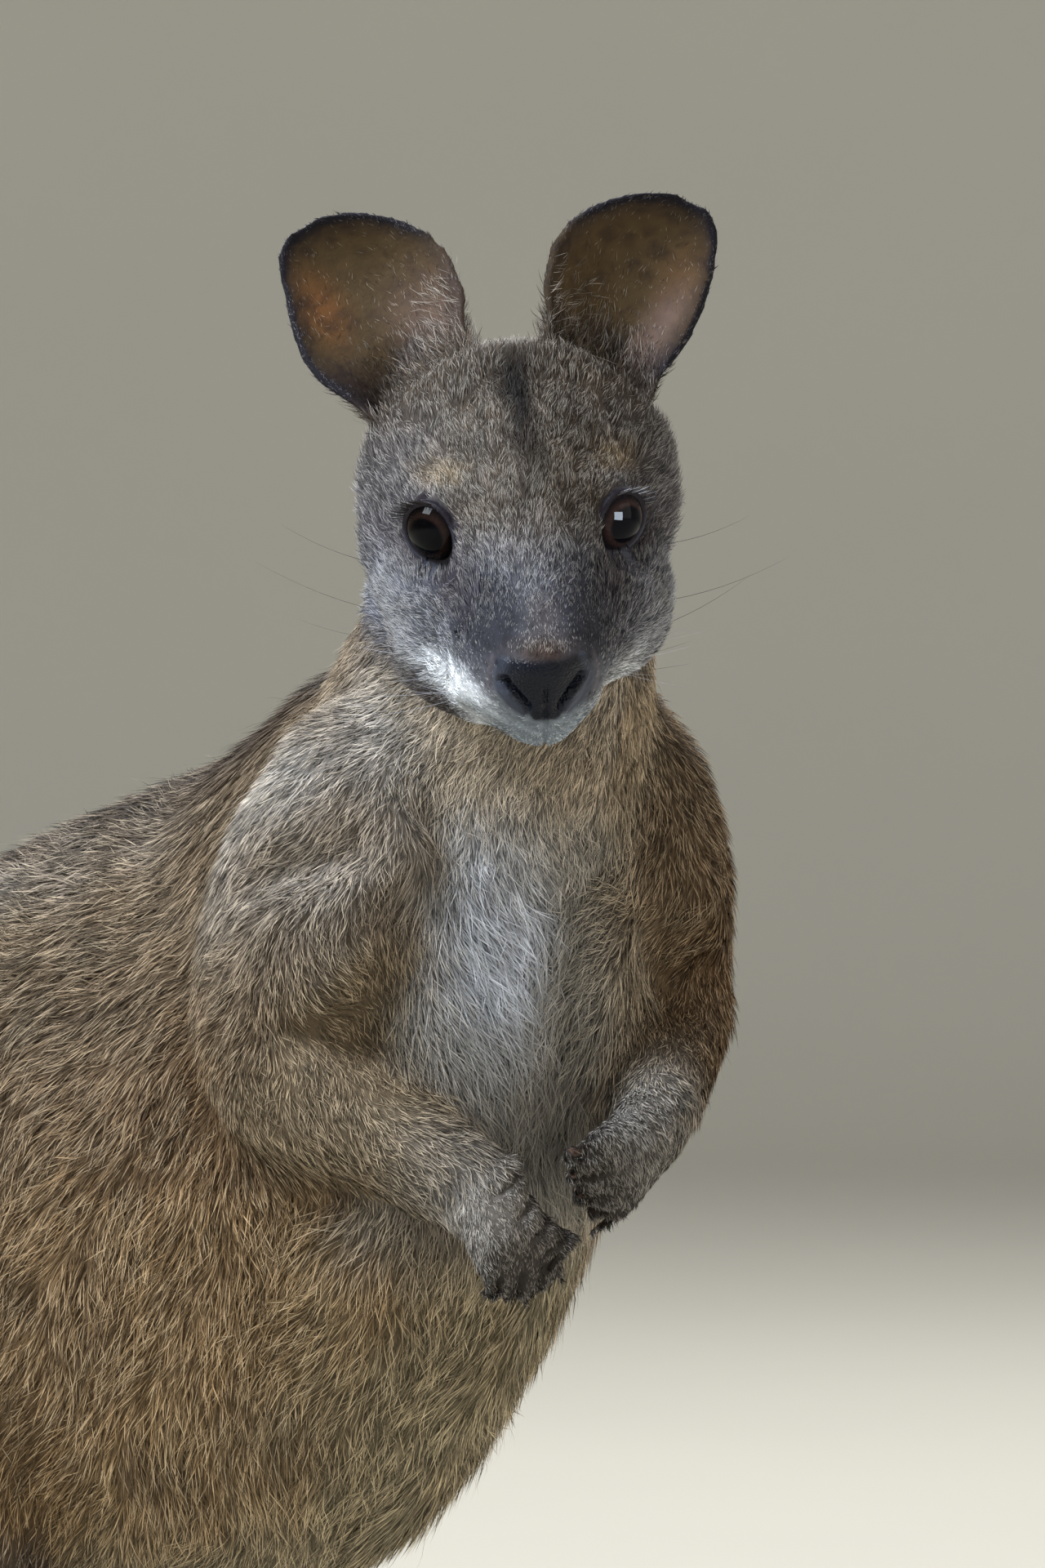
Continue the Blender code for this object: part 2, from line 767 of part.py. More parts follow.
def cut_arm(rest, side, pieces):
    rows = ARM_RIGHT if side == "right" else ARM_LEFT
    hand = carve(rest, lambda bm: hand_region(bm, side), "hand")
    claws = bmesh.new()
    finger_claws(claws, side)
    grow_on(hand, claws)
    add_part(pieces, hand, "hand_" + side, COAT_DARK)
    arm = carve(rest, lambda bm: arm_region(bm, rows), "arm")
    before, elbow, after = (CHEST @ Vector(rows[k][:3]) for k in (3, 4, 5))
    forearm, upper = parted(arm, elbow, after - before, "forearm", "upper_arm")
    add_part(pieces, forearm, "forearm_" + side, COAT)
    add_part(pieces, upper, "upper_arm_" + side, COAT)


def fused_region(bm, tool, triangles):
    """A cutter of several shapes that overlap or fold, made one smooth body."""
    fused = fuse(tool, "region", CUTTER_VOXEL, 4)
    thin_out(fused, triangles)
    bm.from_mesh(fused.data)
    bpy.data.objects.remove(fused)


def arm_region(bm, rows):
    tool = bmesh.new()
    add_limb(tool, CHEST, rows, 1, LIMB_MARGIN + 1.0)
    fused_region(bm, tool, ARM_TOOL_TRIANGLES)


def thigh_region(bm, mirror):
    tool = bmesh.new()
    add_limb(tool, HIPS, THIGH, mirror, LIMB_MARGIN + 1.0)
    fused_region(bm, tool, THIGH_TOOL_TRIANGLES)


def leg_region(bm, mirror):
    """The shank and the whole foot."""
    tool = bmesh.new()
    add_limb(tool, HIPS, SHANK, mirror, LIMB_MARGIN)
    add_foot(tool, mirror, LIMB_MARGIN)
    fused_region(bm, tool, LEG_TOOL_TRIANGLES)


def cut_leg(rest, side, pieces):
    mirror = 1 if side == "left" else -1
    thigh = carve(rest, lambda bm: thigh_region(bm, mirror), "thigh")
    add_part(pieces, thigh, "thigh_" + side, COAT)
    leg = carve(rest, lambda bm: leg_region(bm, mirror), "leg")
    ankle = Vector((mirror * ANKLE[0], ANKLE[1], ANKLE[2]))
    shank, foot = parted(leg, ankle, ANKLE_SLOPE, "shank", "foot")
    claws = bmesh.new()
    add_toe_claws(claws, mirror)
    grow_on(foot, claws)
    add_part(pieces, foot, "foot_" + side, COAT_DARK)
    add_part(pieces, shank, "shank_" + side, COAT)


def tail_cut(obj, row, behind, before):
    """Parts the tail square to its line at one of its stations."""
    way = Vector(TAIL[row + 1][:3]) - Vector(TAIL[row - 1][:3])
    return parted(obj, Vector(TAIL[row][:3]), way, behind, before)


def cut_tail(rest, pieces):
    """The tail leaves the rump and lies back in three lengths."""
    tail, rest = tail_cut(rest, TAIL_CUTS[0], "tail", "rest")
    beyond, base = tail_cut(tail, TAIL_CUTS[1], "beyond", "tail_base")
    tip, middle = tail_cut(beyond, TAIL_CUTS[2], "tail_tip", "tail_middle")
    add_part(pieces, base, "tail_base", COAT)
    add_part(pieces, middle, "tail_middle", COAT)
    add_part(pieces, tip, "tail_tip", COAT_DARK)
    return rest


def cut_trunk(rest, pieces):
    """Neck, chest and the barrel with the hips."""
    turn = CHEST.to_3x3()
    neck, trunk = parted(
        rest, CHEST @ Vector(NECK_CUT[0]), turn @ Vector(NECK_CUT[1]), "neck", "trunk"
    )
    chest, barrel = parted(
        trunk, CHEST @ Vector(CHEST_CUT[0]), turn @ Vector(CHEST_CUT[1]), "chest", "barrel"
    )
    add_part(pieces, neck, "neck", COAT)
    add_part(pieces, chest, "chest", COAT_PALE)
    add_part(pieces, barrel, "belly_and_hips", COAT)


def finish_head(head, pieces):
    """Sockets, ears set in slots, and the bare nose parted from the muzzle."""
    around = swollen(head)
    for side in ("right", "left"):
        bm = bmesh.new()
        add_ear(bm, side)
        ear = make_guide(bm, "ear")
        boolean(ear, around, "DIFFERENCE")
        add_part(pieces, ear, "ear_" + side, EAR_SKIN)
    bpy.data.objects.remove(around)
    nose = carve(head, nose_region, "nose")
    add_part(pieces, nose, "nose", NOSE_SKIN)
    for side in ("right", "left"):
        socket = fuse(eye_socket(side), "socket", SOCKET_VOXEL, 2)
        thin_out(socket, SOCKET_TRIANGLES)
        boolean(head, socket, "DIFFERENCE")
        bpy.data.objects.remove(socket)
        bm = bmesh.new()
        add_eye(bm, side, 0.0)
        add_part(pieces, make_guide(bm, "eye"), "eye_" + side, EYE_GLOSS)
    add_part(pieces, head, "head", COAT_HEAD)


def centre_on_floor(pieces):
    """Moves the animal so that the origin is under the middle of its box."""
    points = [vertex.co for obj in pieces for vertex in obj.data.vertices]
    low = Vector([min(point[axis] for point in points) for axis in range(3)])
    high = Vector([max(point[axis] for point in points) for axis in range(3)])
    shift = Matrix.Translation((-(low.x + high.x) / 2, -(low.y + high.y) / 2, 0))
    for obj in pieces:
        obj.data.transform(shift)


def build():
    for obj in list(bpy.data.objects):
        bpy.data.objects.remove(obj)
    bm = bmesh.new()
    add_whole_body(bm)
    whole = fuse(bm, "whole_body")
    jaw_angle = SKULL @ Vector(HEAD_CUT[0])
    up = SKULL.to_3x3() @ Vector(HEAD_CUT[1])
    head = thinned_half(whole, jaw_angle, up, HEAD_TRIANGLES, "head")
    sunk = thinned_half(whole, jaw_angle, -up, BODY_TRIANGLES, "sunk")
    rest = halved(sunk, Vector((0, 0, 0)), Vector((0, 0, 1)), "rest")
    bpy.data.objects.remove(whole)
    bpy.data.objects.remove(sunk)

    pieces = []
    for side in ("right", "left"):
        cut_arm(rest, side, pieces)
        cut_leg(rest, side, pieces)
    rest = cut_tail(rest, pieces)
    cut_trunk(rest, pieces)
    finish_head(head, pieces)
    centre_on_floor(pieces)


build()
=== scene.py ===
"""The looks of a life-size wallaby: one skin over its solids, eyes, claws and a coat of tufts.

Lengths are in millimetres until a mesh is written, where MM turns them into metres.
"""

import json
import math

import bmesh
import bpy
import numpy as np
from mathutils import Matrix, Vector
from mathutils.kdtree import KDTree

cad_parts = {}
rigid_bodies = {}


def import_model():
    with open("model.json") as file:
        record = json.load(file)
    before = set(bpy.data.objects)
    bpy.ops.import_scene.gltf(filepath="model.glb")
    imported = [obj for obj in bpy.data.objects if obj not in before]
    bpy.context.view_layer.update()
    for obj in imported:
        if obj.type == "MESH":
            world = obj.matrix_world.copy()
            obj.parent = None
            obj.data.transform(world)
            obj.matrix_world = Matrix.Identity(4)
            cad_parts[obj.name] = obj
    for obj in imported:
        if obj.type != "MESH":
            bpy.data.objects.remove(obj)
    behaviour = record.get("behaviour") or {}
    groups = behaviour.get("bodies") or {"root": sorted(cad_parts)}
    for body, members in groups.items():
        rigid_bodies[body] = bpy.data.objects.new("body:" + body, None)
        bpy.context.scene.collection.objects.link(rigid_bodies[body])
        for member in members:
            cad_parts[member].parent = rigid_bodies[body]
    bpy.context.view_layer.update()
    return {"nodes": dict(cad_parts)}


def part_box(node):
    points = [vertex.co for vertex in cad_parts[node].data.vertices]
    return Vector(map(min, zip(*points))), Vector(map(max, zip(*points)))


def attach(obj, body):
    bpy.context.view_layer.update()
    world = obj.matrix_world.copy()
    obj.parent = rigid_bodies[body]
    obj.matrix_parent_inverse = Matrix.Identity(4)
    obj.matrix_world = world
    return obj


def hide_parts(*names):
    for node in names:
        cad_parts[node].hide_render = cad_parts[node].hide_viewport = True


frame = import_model()

MM = 0.001
RANDOM = np.random.default_rng(7)

# ---- shape of the animal --------------------------------------------------------------

CHEST_TURN = 17.0
HEAD_TURN = 41.0
HEAD_PITCH = 40.0
HEAD_ROLL = 3.2
BROW_TO_CHEST = (16.6, 8.8)  # from the brow to the breastbone, level with the floor
EYE_AHEAD = 2.0
EYE_ABOVE = 1.5
EYE_RADIUS = 9.2
EYE_MOVES = {"right": (-1.2, 0, 2.1), "left": (-0.4, 0, 2.3)}  # in the skull's frame
EYE_FACES = (0.58, 0.78, 0.20)  # the left eye's gaze: to the left, ahead and up
CORNEA_BULGE = 0.55
EAR_LENGTH = 50.0
EAR_WIDENING = {"right": 6.5, "left": 2.8}
# Each ear's root in the skull's frame, then its lean and its turn outwards in degrees.
EARS = {
    "right": (-23.0, -24.0, 35.0, 27.0, 6.0),
    "left": (20.5, -24.0, 36.0, 27.0, 8.0),
}
SIGNS = {"right": -1, "left": 1}

SKIN_VOXEL = 1.1
SKIN_GROWTH = 0.5  # closes the thin gaps between the solids
EAR_GROWTH = 0.8
SKIN_TRIANGLES = 150000
SKIN_RELAXING = 240
SKIN_FLOOR = 0.25
HAIR_FLOOR = 0.3
BLEND_STEPS = 14  # how far one region's values ease into the next

BAKE_PATCH = 0.003
BODY_SHIFT = 16  # how far the body's middle lies to the left of the chest's origin

# Elbow, wrist and finger tips from under the chest's front: to the left, ahead and up.
ARMS = {
    "right": ((-56, -42, 222), (-21, 9, 194), (-14.5, 20, 166)),
    "left": ((56, -40, 234), (23, 11, 209), (-4, 17, 191)),
}
# Knuckles, finger tips and the way across the fingers, in the same frame.
FINGERS = {
    "right": ((-18, 17, 180), (-14.5, 20, 166), (-0.93, 0.30, -0.12)),
    "left": ((8, 16, 199), (-4, 17, 191), (0.35, -0.25, -0.90)),
}
FINGER_SPACING = 5.2
WRIST_SWELL = {"right": 1.42, "left": 1.25}

# Smoothing, depth of coat, length and width of hair and its lift in degrees, by node.
REGIONS = {
    "belly_and_hips": (1.0, 4.2, 11.0, 0.32, 24.0),
    "chest": (0.9, 4.2, 12.0, 0.29, 22.0),
    "neck": (0.7, 3.6, 6.5, 0.24, 28.0),
    "head": (0.16, 1.3, 2.9, 0.2, 24.0),
    "nose": (0.03, 0.3, 2.3, 0.2, 16.0),
    "ear": (0.012, 0.0, 2.2, 0.24, 14.0),
    "eye": (0.1, 0.9, 1.5, 0.24, 20.0),
    "upper_arm": (0.6, 3.4, 7.2, 0.27, 27.0),
    "forearm": (0.25, 2.4, 6.2, 0.27, 18.0),
    "hand": (0.5, 0.8, 3.3, 0.25, 14.0),
    "thigh": (1.0, 4.0, 10.5, 0.32, 24.0),
    "shank": (0.4, 2.6, 7.5, 0.33, 20.0),
    "foot": (0.06, 1.0, 3.8, 0.30, 12.0),
    "tail_base": (0.7, 3.0, 8.5, 0.36, 18.0),
    "tail_middle": (0.3, 2.0, 6.5, 0.35, 14.0),
    "tail_tip": (0.12, 1.4, 5.5, 0.34, 14.0),
}
REGION_TABLE = np.array(list(REGIONS.values()))

# Root and tip of each toe, then its claw's length and half width, on the left foot.
TOE_CLAWS = (
    ((51, 176, 7.5), (53, 143, 5), 14, 2.6),
    ((60, 184, 6.8), (64, 159, 4.2), 10, 2.0),
    ((41.5, 182, 7.8), (41, 158, 4.8), 9, 1.5),
)


def region_of(node):
    """The region that a node belongs to, which is its name without its side."""
    return node.replace("_left", "").replace("_right", "")


# ---- frames -----------------------------------------------------------------------------


def node_middle(node):
    low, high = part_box(node)
    return (low + high) / 2 / MM


def turn(angle, axis):
    return Matrix.Rotation(math.radians(angle), 3, axis)


class Frame:
    """A place with three directions of its own: to the animal's left, ahead and above."""

    def __init__(self, origin, left, ahead, above):
        self.origin = np.array(origin, float)
        self.axes = np.array([left, ahead, above], float)

    def local(self, points):
        return (points - self.origin) @ self.axes.T

    def world(self, point):
        return self.origin + np.asarray(point, float) @ self.axes

    def way(self, left, ahead, above):
        way = np.array([left, ahead, above], float) @ self.axes
        return way / np.linalg.norm(way)


def head_frames():
    """The skull square to the neck, and the same place tipped along the bridge of the nose."""
    spin = turn(-HEAD_TURN, "Z") @ turn(-HEAD_ROLL, "Y")
    left, front, up = spin @ Vector((1, 0, 0)), spin @ Vector((0, -1, 0)), spin @ Vector((0, 0, 1))
    pitch = math.radians(HEAD_PITCH)
    ahead = front * math.cos(pitch) - up * math.sin(pitch)
    above = front * math.sin(pitch) + up * math.cos(pitch)
    between = (node_middle("eye_left") + node_middle("eye_right")) / 2
    brow = between - ahead * EYE_AHEAD - above * EYE_ABOVE
    return Frame(brow, left, front, up), Frame(brow, left, ahead, above)


SKULL, FACE = head_frames()
CHEST = Frame(
    (SKULL.origin[0] + BROW_TO_CHEST[0], SKULL.origin[1] + BROW_TO_CHEST[1], 0.0),
    turn(-CHEST_TURN, "Z") @ Vector((1, 0, 0)),
    turn(-CHEST_TURN, "Z") @ Vector((0, -1, 0)),
    Vector((0, 0, 1)),
)


def eye_frame(side):
    """Centre of an eyeball; its gaze is the third direction."""
    gaze = Vector(FACE.way(SIGNS[side] * EYE_FACES[0], *EYE_FACES[1:]))
    across = gaze.cross(Vector(FACE.way(0, -0.2, 1))).normalized()
    upright = gaze.cross(across).normalized()
    if upright.dot(Vector(FACE.way(0, 0, 1))) < 0:
        upright, across = -upright, -across
    centre = np.array(node_middle("eye_" + side)) + EYE_MOVES[side] @ SKULL.axes
    return Frame(centre, across, upright, gaze)


def ear_frame(side):
    """Root of an ear: across it, the way its hollow faces, and along it."""
    root_side, front, rise, lean, turn_out = EARS[side]
    sign = SIGNS[side]
    skull = Matrix(SKULL.axes).transposed() @ Matrix(((1, 0, 0), (0, -1, 0), (0, 0, 1)))
    spin = skull @ turn(lean * sign, "Y") @ turn(-8, "X") @ turn(180 + turn_out * sign, "Z")
    root = SKULL.world((root_side, front, rise))
    return Frame(root, spin.col[0], spin.col[1], spin.col[2])


def beside(points, sign):
    """Which points are on one side of the head."""
    return SKULL.local(points)[:, 0] * sign > 4


def towards_crown(ear, local, sign):
    """How far places in an ear's frame lie towards the middle of the head."""
    return -local[:, 0] * (ear.axes[0] @ SKULL.axes[0]) * sign


# ---- numbers over a surface ---------------------------------------------------------------


def unit(vectors):
    lengths = np.linalg.norm(vectors, axis=-1, keepdims=True)
    return vectors / np.maximum(lengths, 1e-9)


def smooth_step(low, high, values):
    t = np.clip((values - low) / (high - low), 0.0, 1.0)
    return t * t * (3 - 2 * t)


def bump_at(values, centre, half):
    """1 at the centre, falling to 0 at half on either side."""
    return smooth_step(0, 1, 1 - np.abs(values - centre) / half)


def blob(points, centre, radii):
    """1 at a centre, falling smoothly to 0 at the radii."""
    reach = np.linalg.norm((points - np.asarray(centre)) / np.asarray(radii), axis=1)
    return smooth_step(0, 1, 1 - reach)


def ripple(points, size, seed):
    """Smooth unevenness from -1 to 1 whose waves are about size across."""
    picks = np.random.default_rng(seed)
    ways = unit(picks.normal(size=(9, 3)))
    pace = picks.uniform(0.6, 1.7, 9) * 2 * math.pi / size
    start = picks.uniform(0, 2 * math.pi, 9)
    return np.sin(points @ (ways * pace[:, None]).T + start).mean(1) * 2.2


def along_path(points, path, width):
    """Closeness to a path of places, 1 on it and 0 at width, and how far along each is."""
    path = np.asarray(path, float)
    best = np.full(len(points), 1e9)
    share = np.zeros(len(points))
    for k, (a, b) in enumerate(zip(path, path[1:])):
        span = b - a
        t = np.clip((points - a) @ span / (span @ span), 0, 1)
        gap = np.linalg.norm(points - a - t[:, None] * span, axis=1)
        nearer = gap < best
        best = np.where(nearer, gap, best)
        share = np.where(nearer, (k + t) / (len(path) - 1), share)
    return smooth_step(0, 1, 1 - best / width), share


def on_screen(across, up):
    """Two rows of measures as places on a flat screen."""
    return np.stack([across, up, across * 0], axis=1)


def down_arm(points, path):
    """How far along an arm each point is, from 0 at the elbow to 1 at the finger tips."""
    return along_path(points, [CHEST.world(place) for place in path], 1)[1]


def summed(share, names):
    return sum(share[name] for name in names.split())


class Surface:
    """A triangle mesh held as arrays, with its neighbours and normals."""

    def __init__(self, points, triangles):
        self.points = points
        self.triangles = triangles
        self.link()

    def link(self):
        ends = self.triangles[:, [0, 1, 1, 2, 2, 0]].reshape(-1, 2)
        pairs = np.unique(np.sort(ends, axis=1), axis=0)
        both = np.concatenate([pairs, pairs[:, ::-1]])
        order = np.argsort(both[:, 0], kind="stable")
        self.starts = np.searchsorted(both[order, 0], np.arange(len(self.points)))
        self.others = both[order, 1]
        self.counts = np.maximum(np.diff(np.append(self.starts, len(self.others))), 1)

    def mean_of_neighbours(self, values):
        sums = np.add.reduceat(values[self.others], self.starts, axis=0)
        return sums / (self.counts[:, None] if values.ndim > 1 else self.counts)

    def blurred(self, values, times):
        for _ in range(times):
            values = 0.5 * values + 0.5 * self.mean_of_neighbours(values)
        return values

    def smooth(self, weights, times):
        """Evens out the form without shrinking it."""
        weights = weights[:, None]
        for _ in range(times):
            for push in (0.55, -0.57):
                pull = self.mean_of_neighbours(self.points) - self.points
                self.points = self.points + push * weights * pull

    def corners(self):
        return (self.points[self.triangles[:, k]] for k in range(3))

    def face_areas(self):
        a, b, c = self.corners()
        return np.linalg.norm(np.cross(b - a, c - a), axis=1) / 2

    def normals(self):
        a, b, c = self.corners()
        faces = np.cross(b - a, c - a)
        total = np.zeros_like(self.points)
        for axis in range(3):
            for k in range(3):
                corner = self.triangles[:, k]
                total[:, axis] += np.bincount(corner, faces[:, axis], len(self.points))
        return unit(total)


# ---- meshes -------------------------------------------------------------------------------


def mesh_object(name, points, faces):
    """A new object from arrays in millimetres."""
    mesh = bpy.data.meshes.new(name)
    sizes = faces.shape[1]
    mesh.vertices.add(len(points))
    mesh.vertices.foreach_set("co", (points * MM).astype(np.float32).ravel())
    mesh.loops.add(faces.size)
    mesh.loops.foreach_set("vertex_index", faces.astype(np.int32).ravel())
    mesh.polygons.add(len(faces))
    mesh.polygons.foreach_set("loop_start", np.arange(0, faces.size, sizes, dtype=np.int32))
    mesh.update(calc_edges=True)
    mesh.shade_smooth()
    obj = bpy.data.objects.new(name, mesh)
    bpy.context.scene.collection.objects.link(obj)
    return obj


def point_colours(obj, name, values):
    layer = obj.data.attributes.new(name, "FLOAT_COLOR", "POINT")
    rgba = np.ones((len(values), 4), np.float32)
    rgba[:, : values.shape[1]] = values
    layer.data.foreach_set("color", rgba.ravel())


def triangles_of(mesh):
    mesh.calc_loop_triangles()
    faces = np.zeros(len(mesh.loop_triangles) * 3, np.int32)
    mesh.loop_triangles.foreach_get("vertices", faces)
    points = np.zeros(len(mesh.vertices) * 3, np.float32)
    mesh.vertices.foreach_get("co", points)
    return points.reshape(-1, 3).astype(float) / MM, faces.reshape(-1, 3)


def modified(obj, kind, **settings):
    """The points and triangles of an object after one modifier; the object goes."""
    modifier = obj.modifiers.new("change", kind)
    for key, value in settings.items():
        setattr(modifier, key, value)
    graph = bpy.context.evaluated_depsgraph_get()
    mesh = bpy.data.meshes.new_from_object(obj.evaluated_get(graph))
    bpy.data.objects.remove(obj)
    return triangles_of(mesh)


def grown_copy(bm, obj, reach):
    """Adds a node's mesh to bm, swollen along its normals."""
    part = bmesh.new()
    part.from_mesh(obj.data)
    bmesh.ops.remove_doubles(part, verts=part.verts[:], dist=1e-5)
    part.normal_update()
    moves = [(vertex, vertex.normal * reach * MM) for vertex in part.verts]
    for vertex, move in moves:
        vertex.co += move
    mesh = bpy.data.meshes.new("grown")
    part.to_mesh(mesh)
    part.free()
    bm.from_mesh(mesh)
    bpy.data.meshes.remove(mesh)


def largest_shell(points, triangles):
    """Drops loose crumbs beside the main surface."""
    label = np.arange(len(points))
    while True:
        lowest = label[triangles].min(1)
        new = label.copy()
        for k in range(3):
            np.minimum.at(new, triangles[:, k], lowest)
        new = new[new]
        if (new == label).all():
            break
        label = new
    main = np.bincount(label).argmax()
    kept = label == main
    index = np.cumsum(kept) - 1
    faces = triangles[kept[triangles].all(1)]
    return points[kept], index[faces]


def fused_skin():
    """All the solids grown together into one fine surface."""
    bm = bmesh.new()
    for name, obj in frame["nodes"].items():
        grown_copy(bm, obj, EAR_GROWTH if name.startswith("ear") else SKIN_GROWTH)
    mesh = bpy.data.meshes.new("fused")
    bm.to_mesh(mesh)
    bm.free()
    obj = bpy.data.objects.new("fused", mesh)
    bpy.context.scene.collection.objects.link(obj)
    fused = modified(obj, "REMESH", mode="VOXEL", voxel_size=SKIN_VOXEL * MM)
    return Surface(*largest_shell(*fused))


def nearest_regions(points):
    """For each point, the index in REGIONS of the nearest node."""
    names = list(REGIONS)
    places, owners = [], []
    for name, obj in frame["nodes"].items():
        corners, faces = triangles_of(obj.data)
        centres = corners[faces].mean(1)
        mids = (corners[faces] + centres[:, None]) / 2
        for group in (corners, centres, mids.reshape(-1, 3)):
            places.append(group)
            owners += [names.index(region_of(name))] * len(group)
    places = np.concatenate(places)
    tree = KDTree(len(places))
    for k, place in enumerate(places):
        tree.insert(place, k)
    tree.balance()
    return np.array([owners[tree.find(point)[1]] for point in points])


# ---- the head's details ---------------------------------------------------------------------

EYE_OPENING = 45.0  # degrees from the gaze to the edge of the lids
# Lines of the nose, to the side and up in the skull's frame.
NOSE_SLIT = ((9.9, -35.6, 0), (8.6, -37.6, 0), (6.8, -39.8, 0), (4.6, -42.4, 0))
NOSE_WING = ((9.5, -31.3, 0), (10.9, -34.5, 0), (10.6, -38.1, 0), (8.2, -41.2, 0), (5.2, -43.6, 0))
NOSE_RING = ((12.1, -29.7, 0), (13.1, -33.7, 0), (13.3, -36.5, 0), (12.0, -39.7, 0))
LID_THICKNESS = 0.8
# The line of the lips, to the side, ahead and up in the face's frame.
MOUTH = ((0, 50, -17.5), (6, 47, -18.5), (10, 40, -20), (13, 31, -22), (14.5, 22, -22.5))


def eye_angles(side, points):
    """Distance from the eyeball's centre, angle off the gaze, and that angle at the lids."""
    eye = eye_frame(side)
    local = eye.local(points)
    reach = np.linalg.norm(local, axis=1)
    off = np.degrees(np.arccos(np.clip(local[:, 2] / np.maximum(reach, 1e-6), -1, 1)))
    sign = SIGNS[side]
    round_the_eye = np.arctan2(local[:, 1], local[:, 0])
    edge = np.full(len(points), EYE_OPENING)
    corners = ((FACE.way(-sign * 0.35, 0.7, -1.0), 4.5), (FACE.way(sign, -0.9, 0.25), 1.5))
    for way, stretch in corners:
        towards = eye.axes @ way
        bearing = math.atan2(towards[1], towards[0])
        edge += stretch * np.maximum(np.cos(round_the_eye - bearing), 0) ** 10
    top = eye.axes @ SKULL.way(0, 0, 1)
    edge += 5.0 * np.cos(round_the_eye - math.atan2(top[1], top[0])) ** 2
    return reach, off, edge


def finer(surface, reach_limit, past_lids, nose_from):
    """Splits the faces round the eyes and the nose."""
    mesh = bpy.data.meshes.new("detail")
    mesh.from_pydata(surface.points.tolist(), [], surface.triangles.tolist())
    bm = bmesh.new()
    bm.from_mesh(mesh)
    bpy.data.meshes.remove(mesh)
    face = FACE.local(surface.points)
    near = (face[:, 1] > nose_from) & (face[:, 2] > -36)
    for _, tips, _ in FINGERS.values():
        near |= np.linalg.norm(surface.points - CHEST.world(tips), axis=1) < reach_limit
    for side in SIGNS:
        reach, off, edge = eye_angles(side, surface.points)
        near |= (reach < reach_limit) & (off < edge + past_lids)
    bm.verts.ensure_lookup_table()
    edges = [edge for edge in bm.edges if near[edge.verts[0].index] and near[edge.verts[1].index]]
    bmesh.ops.subdivide_edges(bm, edges=edges, cuts=1, use_grid_fill=True)
    bmesh.ops.triangulate(bm, faces=bm.faces[:])
    points = np.array([vertex.co for vertex in bm.verts])
    triangles = np.array([[vertex.index for vertex in face.verts] for face in bm.faces])
    bm.free()
    return Surface(points, triangles)


def shape_face(surface):
    """Nostrils, the groove under the nose, the mouth line, and the chin narrowed and lowered."""
    points, normals = surface.points, surface.normals()
    face, skull = FACE.local(points), SKULL.local(points)
    side, rise = np.abs(skull[:, 0]), skull[:, 2]
    front = smooth_step(44, 50, face[:, 1])
    chin = smooth_step(28, 38, face[:, 1]) * smooth_step(-90, -75, rise)
    low = smooth_step(-41, -50, rise) * chin
    slim = low + 0.9 * chin * smooth_step(-30, -40, rise) * (skull[:, 0] > 0)
    points = points - (0.20 * slim * skull[:, 0])[:, None] * SKULL.axes[0]
    points = points - (1.8 * low)[:, None] * SKULL.axes[2]
    depth = np.zeros(len(points))
    screen = on_screen(side, rise)
    slit, _ = along_path(screen, NOSE_SLIT, 1.5)
    depth -= 2.6 * slit * front
    wing, _ = along_path(screen, NOSE_WING, 1.9)
    depth += 0.7 * wing * (1 - slit) * front
    ring, _ = along_path(screen, NOSE_RING, 1.1)
    depth += 0.3 * ring * smooth_step(36, 42, face[:, 1])
    groove = bump_at(side, 0, 1.4) * smooth_step(-37, -40, rise) * smooth_step(-56, -52, rise)
    depth -= 0.9 * groove * front
    mouth = np.stack([np.abs(face[:, 0]), face[:, 1], face[:, 2]], axis=1)
    line, share = along_path(mouth, MOUTH, 2.6)
    below = smooth_step(-0.7, -0.2, normals @ FACE.axes[2] * -1 + 0.6)
    depth -= 1.5 * line * (1 - 0.5 * share) * below
    surface.points = points + normals * depth[:, None]


def part_fingers(surface):
    """Grooves between the fingers of each hand."""
    points, normals = surface.points, surface.normals()
    for name, (knuckles, tips, across) in FINGERS.items():
        knuckles, tips = CHEST.world(knuckles), CHEST.world(tips)
        way, side = unit(tips - knuckles), unit(np.array(across) @ CHEST.axes)
        away = points - knuckles
        along = away @ way
        spacing = FINGER_SPACING * WRIST_SWELL[name] * 0.94
        offset = away @ side / spacing
        gap = np.abs(offset - np.round(offset - 0.5) - 0.5) * spacing
        near = (np.linalg.norm(away - np.outer(along, way), axis=1) < 19) * (np.abs(offset) < 2.1)
        near = near * (along < 30)
        depth = 1.7 * smooth_step(1.5, 0.2, gap) * smooth_step(1, 7, along) * near
        shorter = 1.1 * (offset + 0.3) ** 2 * smooth_step(2, 14, along) * near
        points = points - normals * depth[:, None] - way * shorter[:, None]
    surface.points = points


